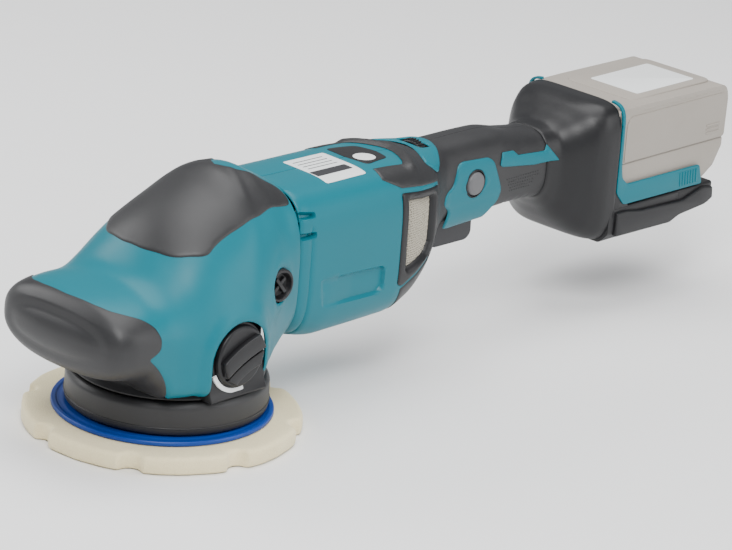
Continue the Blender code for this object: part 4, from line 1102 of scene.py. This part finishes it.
def makeHolder():
    turns = np.radians(np.linspace(-90, 270, 145)[:-1])
    place = onSkin(bodySkin)
    rings = []
    for x, lift in [(296.4, -2.2), (296.5, -0.5), (297.0, 0.2), (298.0, 0.5)]:
        rings.append(place(np.stack([np.full(len(turns), x), np.degrees(turns) * arc], 1), lift))
    for x in np.linspace(299.5, 340.4, 32):
        rings.append(place(np.stack([np.full(len(turns), x), np.degrees(turns) * arc], 1), 0.5))
    for x, lift in ((341.2, 0.35), (341.8, -0.1), (342.1, -0.8), (341.2, -1.4), (337.0, -1.4)):
        rings.append(place(np.stack([np.full(len(turns), x), np.degrees(turns) * arc], 1), lift))
    flare = ringSkin("holderFlare", rings, 0, False, True)
    half, sill = holderShape["trayHalf"], holderShape["sill"]
    trays = []
    for start, end, corner, base in ((337.5, 404.6, 6.5, 46.3), (404, 438, 3, 53.2)):
        outline = softened([(-half, 69), (-half, base + corner), (corner - half, base), (half - corner, base),
                            (half, base + corner), (half, 69)], 2, 3)
        channel = slab("railWay", [(345, 60.5), (450, 60.5), (450, 75), (345, 75)], -28, 28, 0)
        mouth = slab("batteryWay", [(336.2, 69.2), (360, 69.2), (360, 75), (336.2, 75)], -36.8, 36.8, 0)
        trays.append(slab("holderTray", outline, start, end, 1.0, "X", 3, [channel, mouth]))
    rails = []
    for sign in (-1, 1):
        outline = softened([(343, 51), (343, 66.2), (352, 66.4), (366, 64), (408, 62.4), (428, 67.5), (436.5, 66),
                            (437.4, 58.5),
                            (430, 55.4), (405, 53.2), (396, 50)], 1.5, 3)
        rails.append(slab("trayRail", outline, sign * (half - 2), sign * (half + sill), 1.0))
        wall = softened([(340.8, 62), (340.8, 110), (343.0, 110), (344.4, 88), (352, 82), (356, 66)], 1.2, 3)
        rails.append(slab("trayWall", wall, sign * 36.8, sign * 38.0, 0.4))
    ribs = [slab("trayRib", [(x, 46.4), (x + 1.4, 46.4), (x + 1.4, 49), (x, 49)], -30, 30, 0.4) for x in range(352,
        396, 6)]
    fitted(joined("batteryHolder", [flare] + trays + rails + ribs), "housing", "black_plastic",
           finishes["black_plastic"],
           "battery_holder")
    for side, sign in (("left", -1), ("right", 1)):
        trim = softened([(342.4, 124), (342.4, 79), (350, 70.2), (426.6, 69.4), (422.8, 82.4), (352, 83.2),
                         (346.6, 88),
                         (345.2, 96), (344.6, 124)], 2.0, 2)
        band = slab("holderTrim_" + side, trim, sign * 37.3, sign * 38.8, 0.5)
        bend = np.radians(np.linspace(10, 78, 32))
        over = [(sign * (38.3 * np.cos(t)**0.2 + lift * cos(t)), 90 + 45 * np.sin(t)**0.2 + lift * sin(t))
                for lift, order in ((0.9, 1), (-0.7, -1)) for t in bend[::order]]
        over = slab("trimTop", over, 341.9, 344.4, 0.4, "X")
        ribs = [slab("trimRib", [(x, 71.5), (x + 1.2, 71.5), (x + 0.6, 80.6), (x - 0.6, 80.6)], sign * 38.5,
                     sign * 39.2, 0.25)
                for x in np.arange(404, 421, 2.6)]
        fitted(joined("holderTrim_" + side, [band, over] + ribs), "housing", "teal", finishes["teal"],
               "holder_trim_" + side)
    print("scene: battery holder")


def makeBattery():
    (start, end), half, (low, top) = batteryShape["x"], batteryShape["half"], batteryShape["z"]
    split = batteryShape["split"]
    lower = softened([(start, split - 0.3), (start, low), (427, low), (440, 78), (end - 0.4, 90),
                      (end - 0.4, split - 0.3)],
                     1.5, 4)
    tongue = slab("batteryTongue", [(347, 61.2), (430, 61.2), (430, 72), (347, 72)], -27.3, 27.3, 0.8)
    case = slab("batteryLower", lower, -half + 0.4, half - 0.4, 1.2, "Y", 3)
    notches = [slab("rearRib", [(x, 79 + 0.9 * (x - 440)), (x + 1.2, 79 + 0.9 * (x - 440)), (x + 1.2, 94), (x, 94)],
                    -half + 6, half - 6, 0.4) for x in (446.6,)]
    fitted(joined("batteryLower", [case, tongue] + notches), "battery", "battery_grey", finishes["battery_grey"],
           "battery_case_lower")
    upper = softened([(start, split), (end, split), (end + 0.6, top - 9), (end - 1.5, top - 3), (end - 5, top - 0.6),
                      (start + 30, top + 0.2), (start, top)], 3, 3)
    hole = slab("buttonWay", [(-13.6, 104.4), (13.6, 104.4), (13.6, 117.6), (-13.6, 117.6)], end - 11, end + 6, 0,
                "X")
    shellPiece = slab("batteryUpper", upper, -half, half, 3.2, "Y", 5, [hole])
    deck = slab("batteryDeck", softened([(366, -27), (438, -27), (441, -24), (441, 24), (438, 27), (366, 27),
                                         (363, 24),
                                         (363, -24)], 4, 2), top - 1, top + 0.8, 0.8, "Z")
    sides = []
    for sign in (-1, 1):
        plate = softened([(349, 84.6), (444.4, 84.6), (445, 122), (442, 125.4), (352, 125.4), (349, 121)], 3, 2)
        plate = [(x, max(z, split + 0.8)) for x, z in plate]
        sides.append(slab("sidePlate", plate, sign * (half - 1), sign * (half + 0.5), 0.6))
        for z in (100.5, 103.0, 105.5):
            sides.append(slab("sideRib", [(428, z), (441, z), (441, z + 1.1), (428, z + 1.1)], sign * half,
                              sign * (half + 1.0), 0.35))
    bead = slab("topBead", softened([(start + 22, 127.4), (end - 5, 127.4), (end - 5, 128.2), (start + 22, 128.2)],
                                    0.3, 3),
                -half - 0.15, half + 0.15, 0.2)
    fitted(joined("batteryUpper", [shellPiece, deck, bead] + sides), "battery", "battery_grey",
           finishes["battery_grey"], "battery_case_upper")
    label = slab("batteryLabel", softened([(376, -20.5), (432, -20.5), (432, 17.5), (376, 17.5)], 2, 2), top + 0.7,
                 top + 1.05,
                 0.12, "Z")
    fitted(label, "battery", "plate_white", finishes["plate_white"])
    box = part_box("battery_button")
    face = softened([(-12.8, 105.2), (12.8, 105.2), (12.8, 116.8), (-12.8, 116.8)], 2, 2)
    ribs = [slab("buttonRib", [(-9, z), (9, z), (9, z + 1), (-9, z + 1)], box[1].x / mm - 0.5, box[1].x / mm + 0.4,
                 0.3, "X")
            for z in (108, 110.5, 113)]
    button = slab("batteryButton", face, box[0].x / mm, box[1].x / mm, 0.8, "X")
    fitted(joined("batteryButton", [button] + ribs), "battery_button", "button_grey", finishes["button_grey"],
           "battery_button")
    print("scene: battery")


def makeStage():
    view = {"target": (0.1667, 0.0035, 0.0508), "distance": 2.345, "azimuth": -48.4, "elevation": 19.7,
            "roll": 4.5, "lens": 196.7}
    azimuth, elevation = radians(view["azimuth"]), radians(view["elevation"])
    back = Vector((sin(azimuth) * cos(elevation), -cos(azimuth) * cos(elevation), sin(elevation)))
    side = Vector((0, 0, 1)).cross(back).normalized()
    upward = back.cross(side)
    roll = radians(view["roll"])
    right = side * cos(roll) + upward * sin(roll)
    above = back.cross(right)
    lens = bpy.data.cameras.new("studioCamera")
    lens.lens = view["lens"]
    lens.sensor_width = 36
    lens.clip_end = 50
    camera = bpy.data.objects.new("studioCamera", lens)
    camera.matrix_world = Matrix.Translation(Vector(view["target"]) + back * view["distance"]) @ Matrix(
        (right, above, back)).transposed().to_4x4()
    bpy.context.scene.collection.objects.link(camera)
    bpy.context.scene.camera = camera
    for name, spot, aim, size, power in (
            ("keyPanel", (-0.9, -1.0, 1.7), (0.1, 0, 0.08), 0.9, 44), ("topPanel", (0.35, 0.15, 1.6), (0.2, 0, 0.1),
                1.3, 26),
            ("fillPanel", (0.9, -1.6, 0.7), (0.15, 0, 0.08), 1.2, 15), ("edgePanel", (-0.5, 1.3, 0.9), (0.1, 0, 0.1),
                0.8, 13)):
        light = bpy.data.lights.new(name, "AREA")
        light.energy = power
        light.size = size
        lamp = bpy.data.objects.new(name, light)
        lamp.location = spot
        lamp.rotation_euler = (Vector(aim) - Vector(spot)).to_track_quat("-Z", "Y").to_euler()
        bpy.context.scene.collection.objects.link(lamp)
    world = bpy.data.worlds.new("studioWorld")
    world.use_nodes = True
    world.node_tree.nodes["Background"].inputs["Color"].default_value = (0.95, 0.97, 1, 1)
    world.node_tree.nodes["Background"].inputs["Strength"].default_value = 0.42
    bpy.context.scene.world = world
    bpy.ops.mesh.primitive_plane_add(size=12, location=(0, 0, -0.0005))
    floor = bpy.context.object
    floor.name = "studioFloor"
    floor.data.materials.append(moulded("studioFloor", (0.86, 0.86, 0.86), (0.84, 0.84, 0.84), 0.8, 0.05, 60, 0.01))


dressHiddenNodes()
makePad()
makeLowerHead()
makeHead()
makeHousing()
makeHandle()
makeHolder()
makeBattery()
makeStage()
print("scene: finished")
